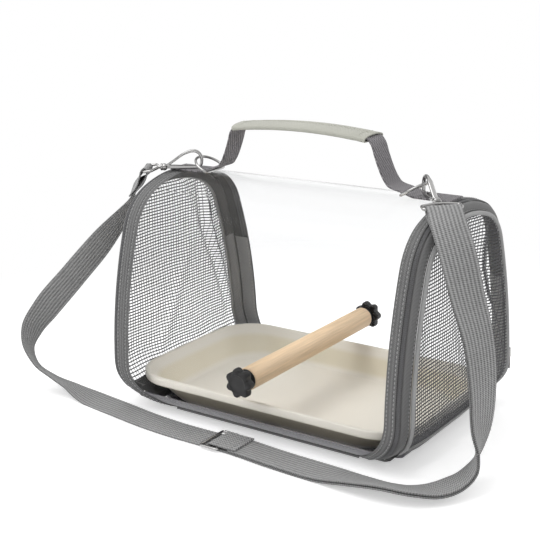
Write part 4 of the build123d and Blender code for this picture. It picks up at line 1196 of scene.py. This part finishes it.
class CARRIER_OT_strap(CarrierOperator, bpy.types.Operator):
    """Shoulder strap in one length, doubled from its slider to the right hook"""

    bl_idname = "carrier.make_strap"
    bl_label = "Shoulder strap"

    def execute(self, context):
        ribs = settings().strap_ribs
        profile = flat_oval(STRAP, STRAP_THICK, 4 * max(ribs, 1) + 1, ribs, 0.22)
        line, right_turn = self.middle_line()
        cut = np.argmin(np.linalg.norm(line[:, :3] - right_turn, axis=1))
        parts = (("strap_long_run", line[: cut + 1], ["strap_left_fall", "strap_front_run", "strap_lower_floor",
                                                      "strap_lower_loop", "strap_lower_rise"]),
                 ("strap_return", line[cut:], ["strap_upper_floor", "strap_upper_loop", "strap_upper_rise"]))
        for name, run, nodes in parts:
            points, uv, loop = carry(run[:, :3], run[:, 3:], profile)
            points[..., 2] = np.maximum(points[..., 2], 0.12)
            piece = solid(name, [(points, uv, loop)], "carrier", "strap_webbing", nodes, 50)
            long = lengths(run[:, :3])[-1] * 0.001
        self.fold(profile)
        self.end_stitches(line)
        return {"FINISHED"}

    @staticmethod
    def middle_line():
        """The strap's middle line and width direction, from its sewn left end round the left eye's bar,
        over the floor, round the right eye's bar and back; and the point where it turns there."""
        r = EYE_BAR_R + 0.12 + STRAP_THICK / 2
        left_bar, left_across = eye_bar(-1)
        right_bar, right_across = eye_bar(1)
        start = LEFT_FALL[0, :3]
        width, next_width = LEFT_FALL[:2, 3:]
        down = unit(start - left_bar)
        out = unit(np.cross(down, left_across))
        if out[2] < 0:
            out = -out
        lift = out * 2.1
        tab = [(start + down * 12 + lift * 0.9, unit(width * 0.7 + next_width * 0.3)),
               (start + lift, unit(width)),
               ((start + left_bar) / 2 + lift * 1.1, unit(width + left_across))]
        ways = (out, unit(out - down * 1.1), unit(-out * 0.6 - down), -out)
        tab += [(left_bar + r * d, left_across) for d in ways]
        lower, upper = layer(RIGHT_RUN, -1.2), layer(RIGHT_RUN, 1.2)
        arrive = unit(right_bar - RIGHT_RUN[-1, :3])
        face = unit(upper[-1, :3] - lower[-1, :3])
        ways = (-face, unit(arrive * 1.1 - face), unit(arrive + face * 0.9), face)
        loop = [(right_bar + r * d, right_across) for d in ways]
        knots = [np.reshape(part, (-1, 6)) for part in (tab, LEFT_FALL, lower, loop, upper[::-1])]
        line = spline(np.vstack(knots), 900)
        line[:, 3:] = unit(line[:, 3:])
        return line, right_bar + r * unit(arrive)

    @staticmethod
    def fold(profile):
        """Sewn end of the strap: up round the slider's middle bar and flat over the doubled strap."""
        knots = [(-21.75, 2.9), (-21.78, 3.9), (-20.6, 5.1), (-18.5, 5.3), (-10, 5.27), (0, 5.27), (8.4, 5.27)]
        path = spline([(x, FRONT_Y, z) for x, z in knots], 50)
        strip = carry(path, ALONG_Y, profile)
        piece = solid("strap_sewn_end", [strip], "slider", "strap_webbing", ["strap_fold"], 50)
        lengths(path)[-1] * 0.001
        rows = [grid(x, FRONT_Y + np.linspace(-13.5, 13.5, 20), 6.05) for x in (3.2, 6.4)]
        seams = [stitches(row, UPWARD, 2.9, 0.3) for row in rows]
        solid("sewn_end_stitches", seams, "slider", "strap_webbing", finish="thread")

    @staticmethod
    def end_stitches(line):
        """Two rows across the folded end at the left eye, on both of its faces."""
        seams = []
        for k in (3, 6):
            p, w = line[k, :3], unit(line[k, 3:])
            run = unit(line[k + 1, :3] - line[k - 1, :3])
            out = unit(np.cross(run, w))
            row = p + np.outer(np.linspace(-13, 13, 20), w)
            seams += [stitches(row + out * sign * 0.75, out * sign, 2.9, 0.3) for sign in (1, -1)]
        solid("left_end_stitches", seams, "carrier", "strap_webbing", finish="thread")


class CARRIER_OT_sheet(CarrierOperator, bpy.types.Operator):
    """Clear vinyl over front, top and back"""

    bl_idname = "carrier.make_sheet"
    bl_label = "Clear sheet"

    def execute(self, context):
        finish_cad("clear_sheet", "clear_vinyl")
        return {"FINISHED"}


class CARRIER_OT_stage(CarrierOperator, bpy.types.Operator):
    """White floor, plain soft lamps and camera"""

    bl_idname = "carrier.make_stage"
    bl_label = "Stage"

    def execute(self, context):
        scene = context.scene
        scene.view_settings.view_transform = "Standard"
        self.floor(scene)
        self.world(scene)
        self.lamps(scene)
        self.camera(scene)
        return {"FINISHED"}

    @staticmethod
    def floor(scene):
        """White paper that glows a little to the eye and fades into the white behind with distance."""
        material, tree, shader = start_material("floor_paper")
        fill(shader, {"Base Color": (0.86, 0.86, 0.86, 1), "Roughness": 0.9, "Specular IOR Level": 0.1})
        glow, paper = add(tree, "Emission", {"Strength": 0.42}), add(tree, "Emission")
        away = add(tree, "VectorMath", {0: add(tree, "TexCoord").outputs["Object"]}, operation="LENGTH")
        far = add(tree, "MapRange", {"From Min": 0.22, "From Max": 0.62, "Value": away.outputs["Value"]},
                  interpolation_type="SMOOTHSTEP")
        near = add(tree, "AddShader", {0: shader.outputs[0], 1: glow.outputs[0]})
        path = add(tree, "LightPath").outputs
        seen = math_node(tree, "MAXIMUM", path["Is Camera Ray"], path["Is Glossy Ray"])
        seen = math_node(tree, "MAXIMUM", seen, path["Is Transmission Ray"])
        white = mixed(tree, far.outputs[0], near.outputs[0], paper.outputs[0])
        show(tree, mixed(tree, seen, shader.outputs[0], white))
        mesh = bpy.data.meshes.new("floor")
        half, low = 6.0, -0.0002
        mesh.from_pydata([(x * half, y * half, low) for x, y in ((-1, -1), (1, -1), (1, 1), (-1, 1))], [],
                         [(0, 1, 2, 3)])
        mesh.materials.append(material)
        floor = bpy.data.objects.new("floor", mesh)
        scene.collection.objects.link(floor)

    @staticmethod
    def world(scene):
        """White room, dimmer for what it lights than for the eye; shiny parts see it darker halfway up."""
        world = bpy.data.worlds.new("studio")
        scene.world = world
        world.use_nodes = True
        tree = world.node_tree
        path = add(tree, "LightPath").outputs
        seen = math_node(tree, "MAXIMUM", path["Is Camera Ray"], path["Is Transmission Ray"])
        level = add(tree, "MapRange", {"To Min": 0.78, "To Max": 1.0, "Value": seen}).outputs[0]
        height = add(tree, "SeparateXYZ", {0: add(tree, "TexCoord").outputs["Generated"]}).outputs[2]
        stops = ((0.0, 1.0), (0.1, 1.0), (0.32, 0.3), (0.55, 0.4), (0.8, 1.0))
        room = ramp(tree, height, [(z, (white,) * 3) for z, white in stops])
        shine = add(tree, "Mix", {"Factor": path["Is Glossy Ray"], "A": level, "B": room}).outputs[0]
        fill(tree.nodes["Background"], {"Color": (1, 1, 1, 1), "Strength": shine})

    @staticmethod
    def lamps(scene):
        """Three soft square lamps that look at the carrier."""
        power = settings().light_power
        lamps = (("over", (-0.35, -0.5, 1.25), power, 0.9), ("left", (-1.3, -0.9, 0.7), power * 0.45, 0.8),
                 ("behind", (0.6, 1.2, 0.9), power * 0.4, 0.8))
        for name, where, watts, size in lamps:
            data = bpy.data.lights.new(f"lamp_{name}", "AREA")
            data.energy = watts
            data.size = size
            lamp = bpy.data.objects.new(f"lamp_{name}", data)
            lamp.location = where
            lamp.rotation_euler = (Vector((0, 0, 0.1)) - lamp.location).to_track_quat("-Z", "Y").to_euler()
            scene.collection.objects.link(lamp)

    @staticmethod
    def camera(scene):
        """Camera from its place, yaw, pitch and roll, in metres and radians."""
        place, yaw, pitch, roll = (0.582423, -0.869166, 0.443529), 0.6243477, 0.2850407, -0.0272016
        ahead = Vector((-sin(yaw) * cos(pitch), cos(yaw) * cos(pitch), -sin(pitch)))
        right = Vector((cos(yaw), sin(yaw), 0))
        up = right.cross(ahead)
        x = right * cos(roll) + up * sin(roll)
        y = up * cos(roll) - right * sin(roll)
        data = bpy.data.cameras.new("camera")
        data.lens = 77.18
        data.sensor_width = 36.0
        data.sensor_fit = "HORIZONTAL"
        data.clip_start, data.clip_end = 0.05, 50
        camera = bpy.data.objects.new("camera", data)
        camera.matrix_world = Matrix.Translation(place) @ Matrix((x, y, -ahead)).transposed().to_4x4()
        scene.collection.objects.link(camera)
        scene.camera = camera


class CARRIER_PT_panel(bpy.types.Panel):
    """Makers of the carrier's pieces"""

    bl_idname = "CARRIER_PT_panel"
    bl_label = "Bird travel carrier"
    bl_space_type = "VIEW_3D"
    bl_region_type = "UI"
    bl_category = "Carrier"

    def draw(self, context):
        column = self.layout.column()
        for name in CarrierSettings.__annotations__:
            column.prop(context.scene.carrier, name)
        for maker in MAKERS:
            column.operator(maker.bl_idname)


MAKERS = (
    CARRIER_OT_base, CARRIER_OT_sheet, CARRIER_OT_bands, CARRIER_OT_doors, CARRIER_OT_tray, CARRIER_OT_perch,
    CARRIER_OT_handle, CARRIER_OT_metal, CARRIER_OT_strap, CARRIER_OT_stage,
)
CLASSES = (CarrierSettings, *MAKERS, CARRIER_PT_panel)


def register():
    for cls in CLASSES:
        bpy.utils.register_class(cls)
    bpy.types.Scene.carrier = PointerProperty(type=CarrierSettings)


def unregister():
    del bpy.types.Scene.carrier
    for cls in reversed(CLASSES):
        bpy.utils.unregister_class(cls)


def main():
    register()
    FINISH.update(make_materials())
    for maker in MAKERS:
        family, action = maker.bl_idname.split(".")
        getattr(getattr(bpy.ops, family), action)()


if __name__ == "__main__":
    main()
